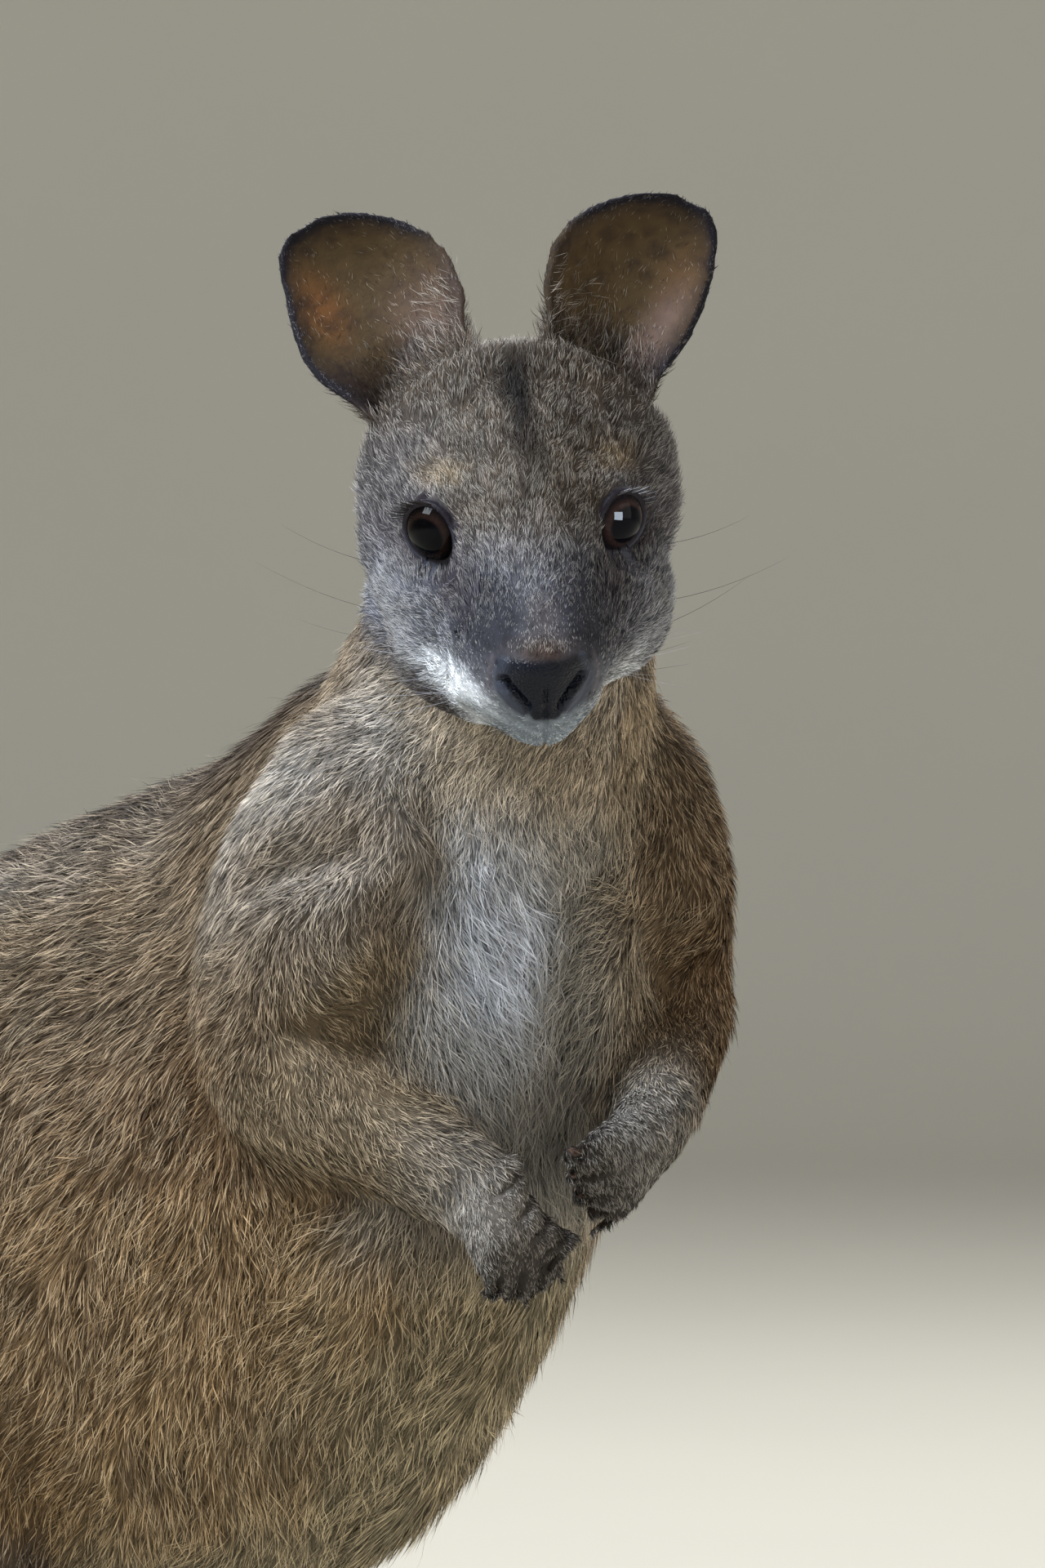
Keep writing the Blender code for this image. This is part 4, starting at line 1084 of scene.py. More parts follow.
class Coat:
    """Everything known at the skin's points, for the tufts that grow from them."""

    def __init__(self, surface, share, values, corner_places):
        self.surface, self.share = surface, share
        self.normals = surface.normals()
        points = surface.points
        known = (points, self.normals, share)
        hide = body_markings(*known)
        face_markings(hide, *known)
        self.ear_inside, self.ear_rims = ear_markings(hide, *known)
        self.bare, bare_colours, self.pad = bare_skin(*known)
        uneven = (1 + 0.07 * ripple(points, 18, 5))[:, None]
        self.colours = np.clip(hide.colours * uneven, 0.001, 1)
        self.skin_colours = self.colours + (bare_colours - self.colours) * self.bare[:, None]
        self.lie = lie_of_coat(surface, self.normals, share)
        self.areas = surface.face_areas()
        self.corner_places = corner_places
        self.length, self.width, self.lift = values[:, 2], values[:, 3], values[:, 4]
        self.paleness = np.full(len(points), 0.8)
        self.shape_hair(points)
        self.seeds = self.nearest_seeds(points)

    def shape_hair(self, points):
        """Longer hair on the cheeks and crown, shorter at the muzzle and hands, and pale tips."""
        side, _, rise = SKULL.local(points).T
        left = CHEST.local(points)[:, 0]
        head = np.clip(summed(self.share, "head eye"), 0, 1)
        cheek = head * smooth_step(22, 36, np.abs(side)) * smooth_step(44, 6, rise)
        crown = head * smooth_step(30, 42, rise)
        for place, raised in ((cheek, 10), (crown, 18)):
            self.length = self.length * (1 + 0.8 * place)
            self.lift = self.lift + raised * place
        muzzle = head * smooth_step(22, 46, FACE.local(points)[:, 1])
        self.length = self.length * (1 - 0.45 * muzzle)
        self.lift = self.lift * (1 - 0.3 * muzzle)
        for path in ARMS.values():
            near = np.linalg.norm(points - CHEST.world(path[2]), axis=1) < 24
            ends = self.share["hand"] * smooth_step(0.72, 0.95, down_arm(points, path)) * near
            self.length = self.length * (1 - 0.3 * ends)
        breast = self.share["chest"] * smooth_step(30, 10, np.abs(left + 8))
        self.paleness = self.paleness * (1 - 0.7 * breast)
        bright = smooth_step(0.02, 0.07, self.colours.mean(1))
        self.paleness = self.paleness * (0.15 + 0.85 * bright)
        for place, size in PARTINGS:
            gap = blob(body_place(points), place, (16, size * 1.2, size))
            self.length = self.length * (1 - 0.75 * np.minimum(gap * 2, 1))
        self.length = self.length * (1 + 0.12 * ripple(points, 20, 31))
        self.lift = self.lift * (1 + 0.2 * ripple(points, 15, 32))

    def nearest_seeds(self, points):
        """For each point, the middle of the lock that it belongs to."""
        chosen = RANDOM.choice(len(points), len(points) // 5, replace=False)
        tree = KDTree(len(chosen))
        for k, index in enumerate(chosen):
            tree.insert(points[index], k)
        tree.balance()
        nearest = [tree.find(point)[1] for point in points]
        self.tones = RANDOM.uniform(0.68, 1.3, len(chosen))[nearest]
        return points[chosen[nearest]]

    def grow(
        self, name, where, count, segments=2, tone=None, longer=1.0, wider=1.0, raised=0.0, way=None
    ):
        """A piece of count tufts whose roots are spread by the weights in where."""
        surface, triangles = self.surface, self.surface.triangles
        chance = self.areas * np.clip(where, 0, None)[triangles].mean(1)
        reach = np.cumsum(chance)
        picks = np.searchsorted(reach, RANDOM.uniform(0, reach[-1], count))
        corners = triangles[picks]
        u, v = RANDOM.uniform(size=(2, count))
        folded = u + v > 1
        u, v = np.where(folded, 1 - u, u), np.where(folded, 1 - v, v)
        parts = np.stack([1 - u - v, u, v], axis=1)

        def over(values):
            return np.einsum("ij,ij...->i...", parts, values[corners])

        roots = over(surface.points)
        normals = unit(over(self.normals))
        lie = on_surface(over(self.lie if way is None else way), normals)
        lie = spin_about(lie, normals, RANDOM.normal(0, 0.21, count))
        across = np.cross(normals, lie)
        length = over(self.length) * RANDOM.uniform(0.6, 1.3, count) * longer
        width = over(self.width) * RANDOM.uniform(0.7, 1.25, count) * wider
        lift = np.radians(over(self.lift) * RANDOM.uniform(0.5, 1.5, count) + raised)
        roll = RANDOM.normal(0, 0.5, count)
        flat = across * np.cos(roll)[:, None] + normals * np.sin(roll)[:, None]
        bend = RANDOM.normal(0, 0.10, count)
        seeds = self.seeds[corners[:, 0]]
        steps = np.linspace(0, 1, segments + 1)
        thickness = np.interp(steps, (0, 0.35, 0.7, 1), (0.7, 1.0, 0.72, 0.0))
        pull = RANDOM.uniform(0.15, 0.6, count)[:, None]
        middles = []
        for t in steps:
            rise = np.sin(lift) * (t - 0.42 * t * t) * length - 0.25
            along = np.cos(lift) * t * length
            place = roots + lie * along[:, None] + normals * rise[:, None]
            place += across * (bend * length * t * t)[:, None]
            to_lock = seeds - roots
            to_lock -= (to_lock * normals).sum(1, keepdims=True) * normals
            place += to_lock * pull * t**1.3
            place[:, 2] = np.maximum(place[:, 2], HAIR_FLOOR)
            middles.append(place)
        rows = []
        for middle, share in zip(middles[:-1], thickness):
            half = flat * (width * share / 2)[:, None]
            rows += [middle - half, middle + half]
        rows.append(middles[-1])
        points = np.stack(rows, axis=1)
        each = points.shape[1]
        faces = []
        for k in range(segments - 1):
            a = 2 * k
            faces += [(a, a + 3, a + 1), (a, a + 2, a + 3)]
        faces.append((each - 3, each - 1, each - 2))
        faces = (np.arange(count)[:, None, None] * each + np.array(faces)[None]).reshape(-1, 3)
        obj = mesh_object(name, points.reshape(-1, 3), faces)
        level = np.repeat(steps, 2)[:-1]
        colour = over(self.colours) if tone is None else np.tile(PALETTE[tone], (count, 1))
        colour = colour * (RANDOM.uniform(0.66, 1.36, count) * self.tones[corners[:, 0]])[:, None]
        point_colours(obj, "coat", np.repeat(colour, each, axis=0))
        strand = np.empty((count, each, 3))
        strand[..., 0] = level
        strand[..., 1] = RANDOM.uniform(size=count)[:, None]
        strand[..., 2] = over(self.paleness)[:, None]
        point_colours(obj, "strand", strand.reshape(-1, 3))
        self.set_normals(obj, normals, lie, flat, each)
        self.set_places(obj, picks, parts, level, each, faces)
        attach(obj, "root")
        return obj

    def set_normals(self, obj, normals, lie, flat, each):
        """Shades a tuft partly as its ribbon and partly as the skin under it."""
        ribbon = np.cross(lie, flat)
        ribbon *= np.sign((ribbon * normals).sum(1, keepdims=True))
        shown = unit(0.55 * normals + 0.45 * ribbon)
        obj.data.normals_split_custom_set_from_vertices(np.repeat(shown, each, axis=0))

    def set_places(self, obj, picks, parts, level, each, faces):
        """The OFBake map: each tuft is a small patch at its root's place on the skin's unwrap."""
        roots = np.einsum("ij,ijk->ik", parts, self.corner_places[picks])
        sides = np.where(np.arange(each) % 2 == 0, -1, 1) * BAKE_PATCH / 2
        sides[-1] = 0
        offsets = np.stack([sides, (level - 0.5) * BAKE_PATCH], axis=1)
        places = (roots[:, None] + offsets[None]).reshape(-1, 2)
        layer = obj.data.uv_layers.new(name="OFBake")
        layer.data.foreach_set("uv", places[faces.ravel()].astype(np.float32).ravel())


# ---- materials ------------------------------------------------------------------------------


class Shade:
    """A socket of a node tree, with arithmetic that adds the nodes it needs."""

    def __init__(self, tree, link):
        self.tree, self.link = tree, link

    def node(self, kind, settings=(), values=(), output=0):
        """Adds any node: its settings first, then its sockets' values or links."""
        node = self.tree.nodes.new("ShaderNode" + kind)
        for key, value in dict(settings).items():
            setattr(node, key, value)
        for key, value in dict(values).items():
            if isinstance(value, Shade):
                self.tree.links.new(value.link, node.inputs[key])
            else:
                node.inputs[key].default_value = value
        return Shade(self.tree, node.outputs[output])

    def maths(self, operation, *values):
        return self.node("Math", {"operation": operation}, dict(enumerate(values)))

    def __add__(self, other):
        return self.maths("ADD", self, other)

    def __sub__(self, other):
        return self.maths("SUBTRACT", self, other)

    def __mul__(self, other):
        return self.maths("MULTIPLY", self, other)

    def __rsub__(self, other):
        return self.maths("SUBTRACT", other, self)

    __radd__ = __add__
    __rmul__ = __mul__

    def between(self, low, high):
        """0 below low, 1 above high and smooth between."""
        settings = {"interpolation_type": "SMOOTHSTEP"}
        return self.node("MapRange", settings, {0: self, 1: low, 2: high, 3: 0.0, 4: 1.0})

    def mixed(self, colour, amount):
        """This colour turned into another by the amount."""
        if not isinstance(colour, Shade):
            colour = (*colour, 1)
        return self.node("Mix", {"data_type": "RGBA"}, {0: amount, 6: self, 7: colour}, 2)

    def times(self, amount):
        """This colour made lighter or darker."""
        return self.node("VectorMath", {"operation": "SCALE"}, {0: self, 3: amount})


class Finish:
    """A material on one Principled shader."""

    def __init__(self, name, **constants):
        self.material = bpy.data.materials.new(name)
        self.material.use_nodes = True
        self.tree = self.material.node_tree
        self.shader = self.tree.nodes["Principled BSDF"]
        for key, value in constants.items():
            socket = self.shader.inputs[key.replace("_", " ")]
            socket.default_value = (*value, 1) if np.ndim(value) else value
        self.start = Shade(self.tree, None)

    def tone(self, colour):
        """One even colour to start from."""
        even = self.start.node("RGB")
        even.link.default_value = (*colour, 1)
        return even

    def attribute(self, name, output=0):
        return self.start.node("Attribute", {"attribute_name": name}, (), output)

    def parts(self, name):
        """The three numbers that an attribute holds."""
        split = self.start.node("SeparateXYZ", (), {0: self.attribute(name, 1)})
        return [Shade(self.tree, out) for out in split.link.node.outputs]

    def place(self):
        return self.start.node("TexCoord", (), (), 3)

    def noise(self, scale, detail=3.0, where=None):
        values = {"Vector": where or self.place(), "Scale": scale, "Detail": detail}
        return self.start.node("TexNoise", (), values)

    def cells(self, scale):
        return self.start.node("TexVoronoi", (), {"Vector": self.place(), "Scale": scale})

    def bumps(self, height, distance, strength=1.0):
        values = {"Strength": strength, "Distance": distance, "Height": height}
        self.feed("Normal", self.start.node("Bump", (), values))

    def feed(self, socket, value):
        self.tree.links.new(value.link, self.shader.inputs[socket])

    def on(self, *objs):
        for obj in objs:
            obj.data.materials.clear()
            obj.data.materials.append(self.material)


def coat_finish(name, root_dark=0.42, tip=shade(228, 210, 180)):
    """Hair: dark at the root, its own colour, then on some a pale band and a dark tip."""
    finish = Finish(name, Roughness=0.62, Specular_IOR_Level=0.22)
    along, chance, paleness = finish.parts("strand")
    tint = finish.attribute("coat")
    depth = along.between(0.0, 0.6) * (1.08 - root_dark) + root_dark
    pale_ones = chance.between(0.50, 0.58) * paleness
    light = tint.times(2.2).mixed(tip, 0.44)
    colour = tint.times(depth).mixed(light, along.between(0.38, 0.75) * pale_ones)
    dark_ones = (1 - chance.between(0.26, 0.34)) * paleness
    colour = colour.mixed(tint.times(0.18), along.between(0.25, 0.70) * dark_ones)
    finish.feed("Base Color", colour)
    finish.feed("Roughness", 0.70 - along * 0.16)
    return finish


def skin_finish():
    """Skin: dark under the coat, bare and finely pebbled at the nose, lids, ears and palms."""
    finish = Finish("bare_and_coated_skin", Specular_IOR_Level=0.2)
    bare, inside, pad = finish.parts("kind")
    tint = finish.attribute("coat")
    grain = finish.noise(900.0, 4.0)
    blotch = finish.noise(260.0, 3.0)
    under = tint.times(0.40 + grain * 0.5)
    open_skin = tint.times(0.72 + blotch * 0.5)
    finish.feed("Base Color", under.mixed(open_skin, (bare + inside).between(0.1, 0.8)))
    finish.feed("Roughness", 0.8 - pad * 0.46 - (bare - pad).between(0.2, 0.9) * 0.28)
    pebbles = finish.cells(1500.0)
    rough = grain * (1 - pad) * 0.5 + pebbles * pad * 0.7
    finish.bumps(rough, 0.0006, 0.6)
    return finish


def eye_finish():
    """A wet dark eye: pupil, deep brown iris with fibres, and a dark edge."""
    finish = Finish("eye_wet", Roughness=0.04, Specular_IOR_Level=0.2, IOR=1.3)
    off, bearing, _ = finish.parts("gaze")
    fibres = finish.noise(7.0, 6.0, finish.start.node("CombineXYZ", (), {0: bearing * 9, 1: off}))
    iris = finish.tone(shade(27, 17, 13)).mixed(shade(16, 9, 8), fibres.between(0.35, 0.65))
    iris = iris.mixed(shade(9, 6, 6), off.between(0.34, 0.44))
    colour = iris.mixed(shade(2, 2, 3), 1 - off.between(0.27, 0.33))
    colour = colour.mixed(shade(44, 38, 44), off.between(0.50, 0.58))
    finish.feed("Base Color", colour)
    return finish


def horn_finish():
    finish = Finish("claw_horn", Specular_IOR_Level=0.5)
    grain = finish.noise(500.0, 5.0)
    dark = finish.tone(shade(40, 33, 30))
    finish.feed("Base Color", dark.mixed(shade(84, 72, 62), grain.between(0.45, 0.75)))
    finish.feed("Roughness", 0.32 + grain * 0.2)
    finish.bumps(grain, 0.0003, 0.4)
    return finish


def hair_finish(name, tone):
    finish = Finish(name, Roughness=0.4)
    along, chance, _ = finish.parts("strand")
    finish.feed("Base Color", finish.tone(tone).times(0.75 + chance * 0.5 + along * 0.2))
    return finish


def studio_finish(name, tone, scale):
    finish = Finish(name, Roughness=0.9)
    finish.feed("Base Color", finish.tone(tone).times(0.97 + finish.noise(scale) * 0.06))
    return finish


# ---- eyes, claws and whiskers ---------------------------------------------------------------


def bands(rows, spokes):
    """Four-sided faces between rows of points, each row a closed ring of spokes."""
    k, j = np.meshgrid(np.arange(rows - 1), np.arange(spokes), indexing="ij")
    a, b = k * spokes + j, k * spokes + (j + 1) % spokes
    return np.stack([a, a + spokes, b + spokes, b], axis=-1).reshape(-1, 4)


def halved(faces):
    """Each four-sided face as two triangles."""
    return faces[:, [0, 1, 2, 0, 2, 3]].reshape(-1, 3)


def build_eye(side):
    """A ball with the clear bulge of a cornea, facing along the gaze."""
    eye = eye_frame(side)
    rings, spokes = 48, 72
    off = np.linspace(0, math.pi, rings + 1)[1:-1]
    around = np.linspace(0, 2 * math.pi, spokes, endpoint=False)
    angle, bearing = np.meshgrid(off, around, indexing="ij")
    bulge = EYE_RADIUS + CORNEA_BULGE * np.cos(np.clip(angle / 0.85, 0, math.pi / 2)) ** 2
    local = np.stack(
        [np.sin(angle) * np.cos(bearing), np.sin(angle) * np.sin(bearing), np.cos(angle)], axis=-1
    )
    local = (local * bulge[..., None]).reshape(-1, 3)
    local = np.concatenate([local, [[0, 0, EYE_RADIUS + CORNEA_BULGE], [0, 0, -EYE_RADIUS]]])
    near, far = len(local) - 2, len(local) - 1
    one = np.arange(spokes)
    two = (one + 1) % spokes
    last = (rings - 2) * spokes
    caps = [
        np.stack([np.full(spokes, near), one, two], axis=1),
        np.stack([np.full(spokes, far), last + two, last + one], axis=1),
    ]
    points = eye.origin + local @ eye.axes
    faces = np.concatenate([halved(bands(rings - 1, spokes)), *caps])
    obj = mesh_object("eyeball_" + side, points, faces)
    turned = np.degrees(np.arccos(unit(local)[:, 2])) / 100
    where = np.stack([turned, np.arctan2(local[:, 1], local[:, 0]), turned], axis=1)
    point_colours(obj, "gaze", where)
    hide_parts("eye_" + side)
    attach(obj, "root")
    return obj


def tubes(name, paths, radius, sides=5):
    """Tapering hairs or claws, each along its own row of places."""
    paths = np.asarray(paths, float)
    count, steps = paths.shape[:2]
    radius = np.broadcast_to(np.asarray(radius, float), (count,))
    tangent = unit(np.gradient(paths, axis=1))
    helper = np.where(np.abs(tangent[..., 2:]) > 0.9, [[[1.0, 0, 0]]], [[[0, 0, 1.0]]])
    across = unit(np.cross(tangent, helper))
    upright = np.cross(tangent, across)
    angles = np.linspace(0, 2 * math.pi, sides, endpoint=False)
    share = np.sqrt(np.linspace(1, 0.01, steps))
    ring = (
        across[:, :, None] * np.cos(angles)[None, None, :, None]
        + upright[:, :, None] * np.sin(angles)[None, None, :, None]
    )
    points = paths[:, :, None] + ring * (radius[:, None] * share)[:, :, None, None]
    each = steps * sides
    faces = halved(bands(steps, sides))[None]
    faces = (np.arange(count)[:, None, None] * each + faces).reshape(-1, 3)
    obj = mesh_object(name, points.reshape(-1, 3), faces)
    strand = np.zeros((count, steps, sides, 3))
    strand[..., 0] = np.linspace(0, 1, steps)[None, :, None]
    strand[..., 1] = RANDOM.uniform(size=count)[:, None, None]
    point_colours(obj, "strand", strand.reshape(-1, 3))
    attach(obj, "root")
    return obj


def arc(start, way, length, droop, steps=9):
    """Places along a hair that leaves one way and bends towards another."""
    t = np.linspace(0, 1, steps)[:, None]
    return start + np.asarray(way) * length * t + np.asarray(droop) * length * t * t


def skin_spot(coat, place, way):
    """The place on the skin nearest a line from inside the head, a little under its surface."""
    points = coat.surface.points
    along = np.clip((points - place) @ way, 0, None)
    gap = np.linalg.norm(points - place - along[:, None] * way, axis=1) - 0.02 * along
    return points[gap.argmin()] - way * 0.4


def build_whiskers(coat):
    """Whiskers on the lips, cheeks and brows."""
    dark, pale = [], []
    for sign in (-1, 1):
        for k in range(12):
            ahead, above = RANDOM.uniform(24, 44), RANDOM.uniform(-19, -9)
            place = FACE.world((0, ahead, above))
            way = FACE.way(sign, -0.1, -0.15)
            start = skin_spot(coat, place, way)
            leave = FACE.way(sign, RANDOM.uniform(-0.7, 0.1), RANDOM.uniform(-0.7, 0.15))
            droop = FACE.way(sign * 0.2, -0.9, -0.4) * 0.25
            hair = arc(start, leave, RANDOM.uniform(8, 22), droop)
            (pale if k % 3 else dark).append(hair)
        for ahead, above, length in ((-2, -24, 34), (4, -28, 26), (-10, -14, 22)):
            start = skin_spot(coat, FACE.world((0, ahead, above)), FACE.way(sign, 0, -0.1))
            leave = FACE.way(sign, -0.15, RANDOM.uniform(-0.1, 0.3))
            dark.append(arc(start, leave, length, FACE.way(0, -0.5, 0.6) * 0.2))
        for ahead, above, length in ((6, 11, 15), (3, 12, 19), (8, 10, 11)):
            start = skin_spot(coat, FACE.world((0, ahead, 0)), FACE.way(sign * 0.62, 0, 0.6))
            leave = FACE.way(sign * 0.75, 0.35, 0.75)
            dark.append(arc(start, leave, length, FACE.way(sign * 0.6, -0.6, 0.2) * 0.35))
    return tubes("whiskers_dark", dark, 0.06), tubes("whiskers_pale", pale, 0.055)


def build_lashes():
    """Short dark lashes on the upper lids, longest at the outer corners, and a pale few."""
    dark, pale = [], []
    for side, sign in SIGNS.items():
        eye = eye_frame(side)
        outer = eye.axes @ FACE.way(sign, -0.9, 0.35)
        start_angle = math.atan2(outer[1], outer[0])
        top = eye.axes @ SKULL.way(0, 0, 1)
        top_angle = math.atan2(top[1], top[0])
        span = (top_angle - start_angle + math.pi) % (2 * math.pi) - math.pi
        for k in range(46):
            t = k / 45
            bearing = start_angle + span * (t * 1.5 - 0.1) + RANDOM.normal(0, 0.04)
            off = math.radians(EYE_OPENING + 5 + RANDOM.uniform(-1, 2.5))
            across = math.sin(off)
            way = np.array([math.cos(bearing) * across, math.sin(bearing) * across, math.cos(off)])
            start = eye.origin + way @ eye.axes * (EYE_RADIUS + 0.9)
            length = (5.0 - 3.0 * t) * RANDOM.uniform(0.6, 1.1)
            leave = unit(way @ eye.axes * 0.6 + FACE.way(sign * 0.9, 0.25, 0.05) * 0.9)
            curl = FACE.way(sign * 0.5, -0.3, 0.5) * 0.25
            (pale if side == "left" and k % 5 == 1 else dark).append(arc(start, leave, length, curl, 6))
    return tubes("lashes_dark", dark, 0.11, 4), tubes("lashes_pale", pale, 0.10, 4)


def build_claws():
    """The three strong claws of each hind foot."""
    paths, radii = [], []
    for mirror in (-1, 1):
        for root, tip, length, radius in TOE_CLAWS:
            root, tip = np.array(root) * [mirror, 1, 1], np.array(tip) * [mirror, 1, 1]
            way = unit(tip - root)
            start = tip + np.array([0, 2.5, 1.4])
            t = np.linspace(0, 1, 12)[:, None]
            path = start + np.array([way[0], way[1], -0.10]) * (length + 2.5) * t
            path[:, 2] += 1.3 * np.sin(t[:, 0] * math.pi) - 0.2 * t[:, 0]
            path[:, 2] = np.maximum(path[:, 2], radius * (1 - t[:, 0]) ** 0.5 + 0.15)
            paths.append(path + [CHEST.origin[0] + BODY_SHIFT, CHEST.origin[1], 0])
            radii.append(radius)
    return tubes("toe_claws", paths, radii, 12)


# ---- putting it together --------------------------------------------------------------------


def build_coat(coat):
    """The pieces of the coat, by region, with their finishes."""
    share, points = coat.share, coat.surface.points
    side, front, rise = SKULL.local(points).T
    hairy = np.clip(1 - 1.6 * coat.bare, 0, 1)
    hairy = hairy * (1 - 0.97 * coat.ear_inside) * (1 - coat.ear_rims * 0.8)
    head = summed(share, "head nose eye") * hairy
    ahead = smooth_step(-6, 6, front)
    middle = smooth_step(34, 26, np.abs(side)) * smooth_step(46, 36, rise)
    hips = share["belly_and_hips"] * hairy
    upper = smooth_step(150, 190, points[:, 2])
    shin = share["shank"] * 0.5
    tail = summed(share, "tail_base tail_middle tail_tip")
    trunk = 1 - np.clip(head + share["ear"] + share["foot"] + share["hand"] + share["nose"], 0, 1)
    medial, across = np.zeros(len(points)), np.zeros_like(points)
    for name, sign in SIGNS.items():
        ear, own = ear_frame(name), beside(points, sign)
        local = ear.local(points)
        low = smooth_step(26, 10, local[:, 2]) * (local[:, 2] > -14)
        medial += smooth_step(4, 12, towards_crown(ear, local, sign)) * low * own
        across[own] = SKULL.way(0.9 * sign, 0.3, 0.15)
    hair = coat_finish("coat_hair")
    short = coat_finish("coat_short_hair", 0.55, shade(222, 218, 210))
    # Name, weights, count, finish, slot and what sets these tufts apart.
    plan = (
        ("coat_face", head * ahead * middle, 66000, short, "coat_head", {}),
        ("coat_cheeks", head * ahead * (1 - middle), 44000, short, "coat_head", {}),
        ("coat_crown", head * (1 - ahead) + share["ear"] * hairy, 46000, short, "coat_head", {}),
        ("coat_neck", share["neck"] * hairy, 44000, hair, "coat", {}),
        ("coat_chest", share["chest"] * hairy, 36000, hair, "coat_pale", {}),
        ("coat_arms", summed(share, "upper_arm forearm") * hairy, 52000, hair, "coat", {}),
        ("coat_hands", share["hand"] * hairy, 27000, short, "coat", {}),
        ("coat_feet", (share["foot"] + shin) * hairy, 14000, short, "coat", {}),
        ("coat_back", hips * upper, 48000, hair, "coat", {}),
        ("coat_belly", hips * (1 - upper), 34000, hair, "coat", {}),
        ("coat_thighs", (share["thigh"] + shin) * hairy, 30000, hair, "coat", {}),
        ("coat_tail", tail * hairy, 16000, hair, "coat", {}),
        ("coat_guard_hair", trunk * hairy, 5200, hair, "coat_dark",
         dict(segments=3, longer=1.35, wider=0.42, raised=12)),
        ("coat_ear_down", coat.ear_inside * (1 - coat.ear_rims), 5200, short, "coat_head",
         dict(longer=0.9, wider=0.8)),
        ("coat_ear_fringe", coat.ear_rims, 5200, short, "coat_head",
         dict(tone="fringe", longer=0.42, wider=0.42, raised=26)),
        ("coat_ear_fluff", share["ear"] * medial, 420, short, "coat_head",
         dict(segments=3, tone="fluff", longer=2.1, wider=0.36, raised=8, way=across)),
        ("coat_ear_base", share["ear"] * share["head"] * (1 - coat.ear_inside), 2600, short,
         "coat_head", dict(segments=3, longer=2.0, raised=22)),
    )  # fmt: skip
    for name, where, count, finish, slot, habit in plan:
        piece = coat.grow(name, where, count, **habit)
        finish.on(piece)


# The camera's bearing and height in degrees, distance in metres and what it aims at.
CAMERA_BEARING, CAMERA_RISE, CAMERA_AWAY = -44, 2, 2.13
AIM_LEFT, AIM_HEIGHT = 0.007, 0.293
LENS, SENSOR = 200, 36
HEAD_OVER_AIM = 0.06

# Each lamp's place from the head, in metres to the picture's right, towards the camera and
# up, then its size, power and tone. The window is seen by the eyes only, as their highlight.
LAMPS = {
    "key": ((-1.35, 0.75, 1.45), 1.0, 72, (0.86, 0.93, 1.0)),
    "window": ((0.85, 1.1, -0.14), 0.66, 90, (0.74, 0.86, 1.0)),
    "fill": ((1.5, 0.7, 0.3), 1.2, 7, (1.0, 0.93, 0.84)),
    "rim": ((0.3, -1.3, 1.1), 0.8, 18, (0.95, 0.97, 1.0)),
}
SKY_TONE, SKY_STRENGTH = (0.86, 0.92, 1.0, 1), 0.27
FLOOR_REACH, BOWL_HEIGHT, BOWL_SPOKES = 2.6, 3.2, 96


def build_camera():
    """A long lens at breast height, aimed just above the hands."""
    azimuth, elevation = math.radians(CAMERA_BEARING), math.radians(CAMERA_RISE)
    right = Vector((math.cos(azimuth), math.sin(azimuth), 0))
    level = Vector((math.sin(azimuth), -math.cos(azimuth), 0))
    back = level * math.cos(elevation) + Vector((0, 0, math.sin(elevation)))
    target = Vector(CHEST.origin) * MM - right * AIM_LEFT + Vector((0, 0, AIM_HEIGHT))
    camera = bpy.data.objects.new("camera", bpy.data.cameras.new("camera"))
    camera.data.lens, camera.data.sensor_width = LENS, SENSOR
    camera.location = target + back * CAMERA_AWAY
    camera.rotation_euler = back.to_track_quat("Z", "Y").to_euler()
    bpy.context.scene.collection.objects.link(camera)
    bpy.context.scene.camera = camera
    return target, right, back


def build_light(name, place, aim, size, power, tone):
    lamp = bpy.data.lights.new(name, "AREA")
    lamp.energy, lamp.size, lamp.color = power, size, tone
    obj = bpy.data.objects.new(name, lamp)
    obj.location = place
    obj.rotation_euler = (aim - obj.location).to_track_quat("-Z", "Y").to_euler()
    bpy.context.scene.collection.objects.link(obj)
    return obj


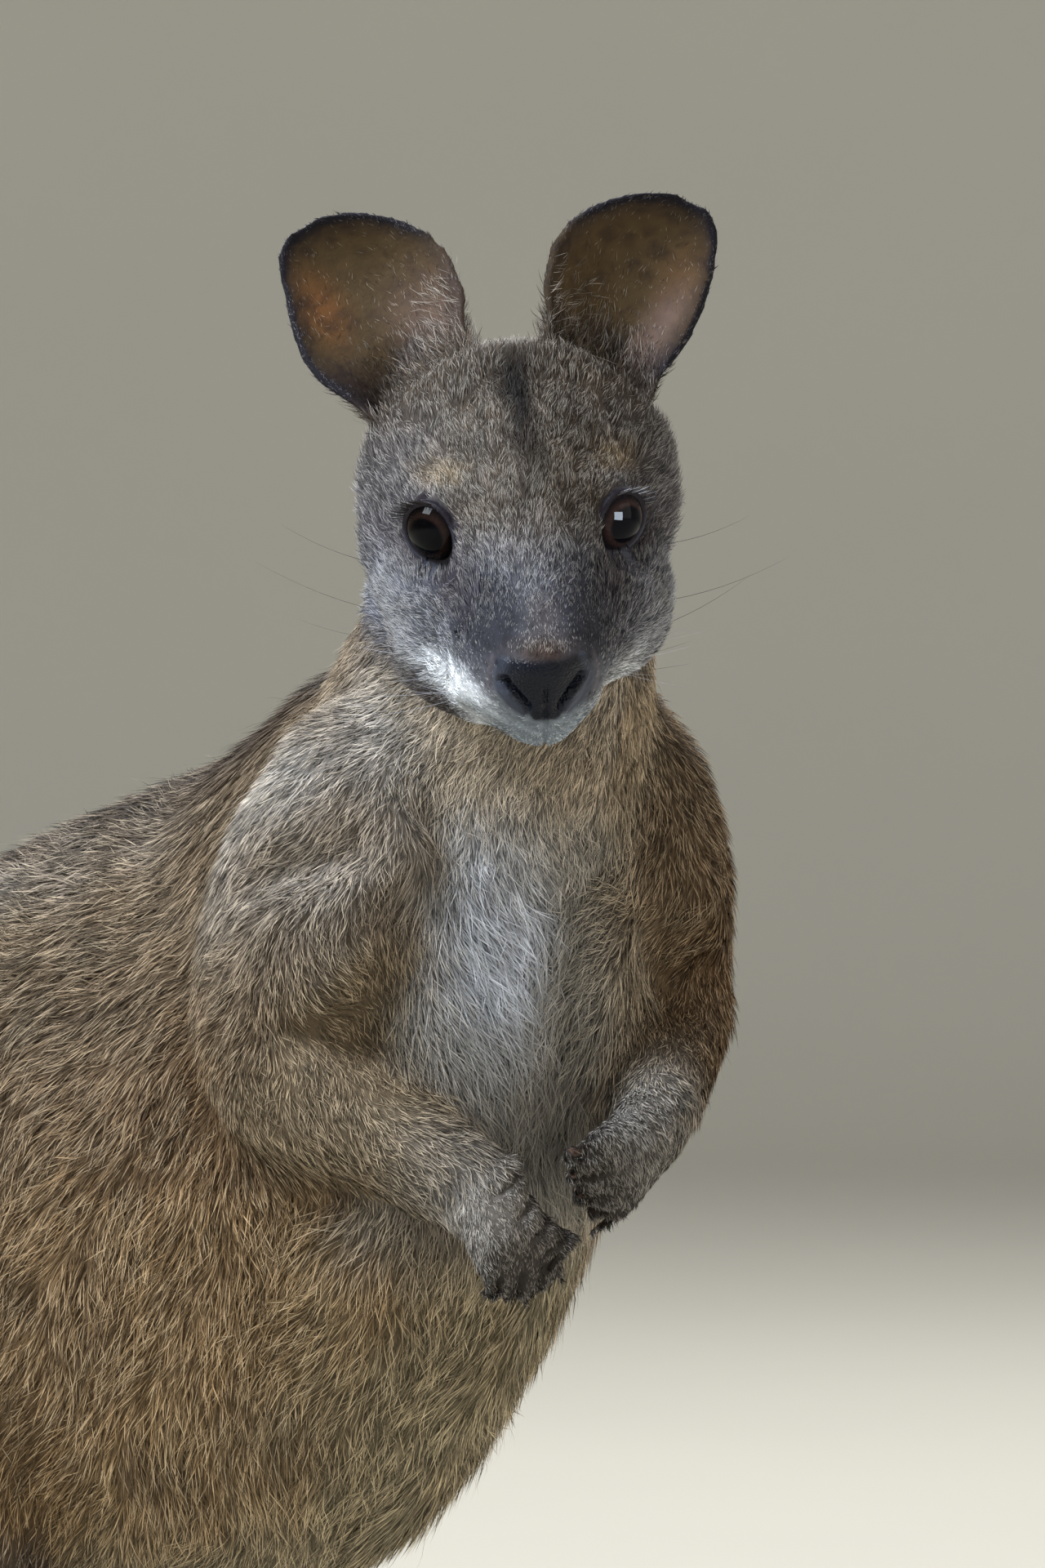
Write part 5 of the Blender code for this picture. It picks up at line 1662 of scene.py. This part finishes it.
def build_studio(target, right, back):
    """A pale round floor that curves up into an open bowl, soft lamps and a dim even sky."""
    profile = [(0.0002, 0.0), (1.2, 0.0), (FLOOR_REACH, 0.0)]
    profile += [(FLOOR_REACH + math.sin(a), 1 - math.cos(a)) for a in np.linspace(0.1, 1.57, 14)]
    profile += [(FLOOR_REACH + 1, BOWL_HEIGHT)]
    reach, height = np.array(profile).T[:, :, None]
    angle = np.linspace(0, 2 * math.pi, BOWL_SPOKES, endpoint=False)
    across, along = target.x + reach * np.cos(angle), target.y + reach * np.sin(angle)
    points = np.stack([across, along, height + angle * 0], axis=-1).reshape(-1, 3)
    faces = bands(len(profile), BOWL_SPOKES)[:, [0, 3, 2, 1]]
    sweep = mesh_object("sweep", points / MM, faces)
    studio_finish("pale_paper", shade(206, 200, 186), 3.0).on(sweep)
    head = target + Vector((0, 0, HEAD_OVER_AIM))
    lamps = {}
    for name, (place, size, power, tone) in LAMPS.items():
        spot = head + right * place[0] + back * place[1] + Vector((0, 0, place[2]))
        aim = target if name == "fill" else head
        lamps[name] = build_light(name, spot, aim, size, power, tone)
    eyes = bpy.data.collections.new("lit_by_window")
    for side in SIGNS:
        eyes.objects.link(bpy.data.objects["eyeball_" + side])
    lamps["window"].light_linking.receiver_collection = eyes
    world = bpy.data.worlds.new("even_sky")
    world.use_nodes = True
    sky = world.node_tree.nodes["Background"]
    sky.inputs[0].default_value, sky.inputs[1].default_value = SKY_TONE, SKY_STRENGTH
    bpy.context.scene.world = world
    bpy.context.scene.view_settings.view_transform = "Standard"


def build_animal():
    surface = build_skin()
    shares = region_shares(surface)
    share = dict(zip(REGIONS, shares.T))
    skin = mesh_object("skin", surface.points, surface.triangles)
    coat = Coat(surface, share, shares @ REGION_TABLE, unwrapped(skin))
    point_colours(skin, "coat", coat.skin_colours)
    kind = np.stack([coat.bare, np.maximum(coat.ear_inside, coat.ear_rims), coat.pad], axis=1)
    point_colours(skin, "kind", kind)
    skin_finish().on(skin)
    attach(skin, "root")
    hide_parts(*[name for name in frame["nodes"] if not name.startswith("eye")])
    wet = eye_finish()
    for side in SIGNS:
        wet.on(build_eye(side))
    dark_hair = hair_finish("dark_whisker", shade(40, 34, 34))
    pale_hair = hair_finish("pale_whisker", shade(170, 172, 182))
    for dark, pale in (build_whiskers(coat), build_lashes()):
        dark_hair.on(dark)
        pale_hair.on(pale)
    horn_finish().on(build_claws())
    build_coat(coat)


build_animal()
build_studio(*build_camera())
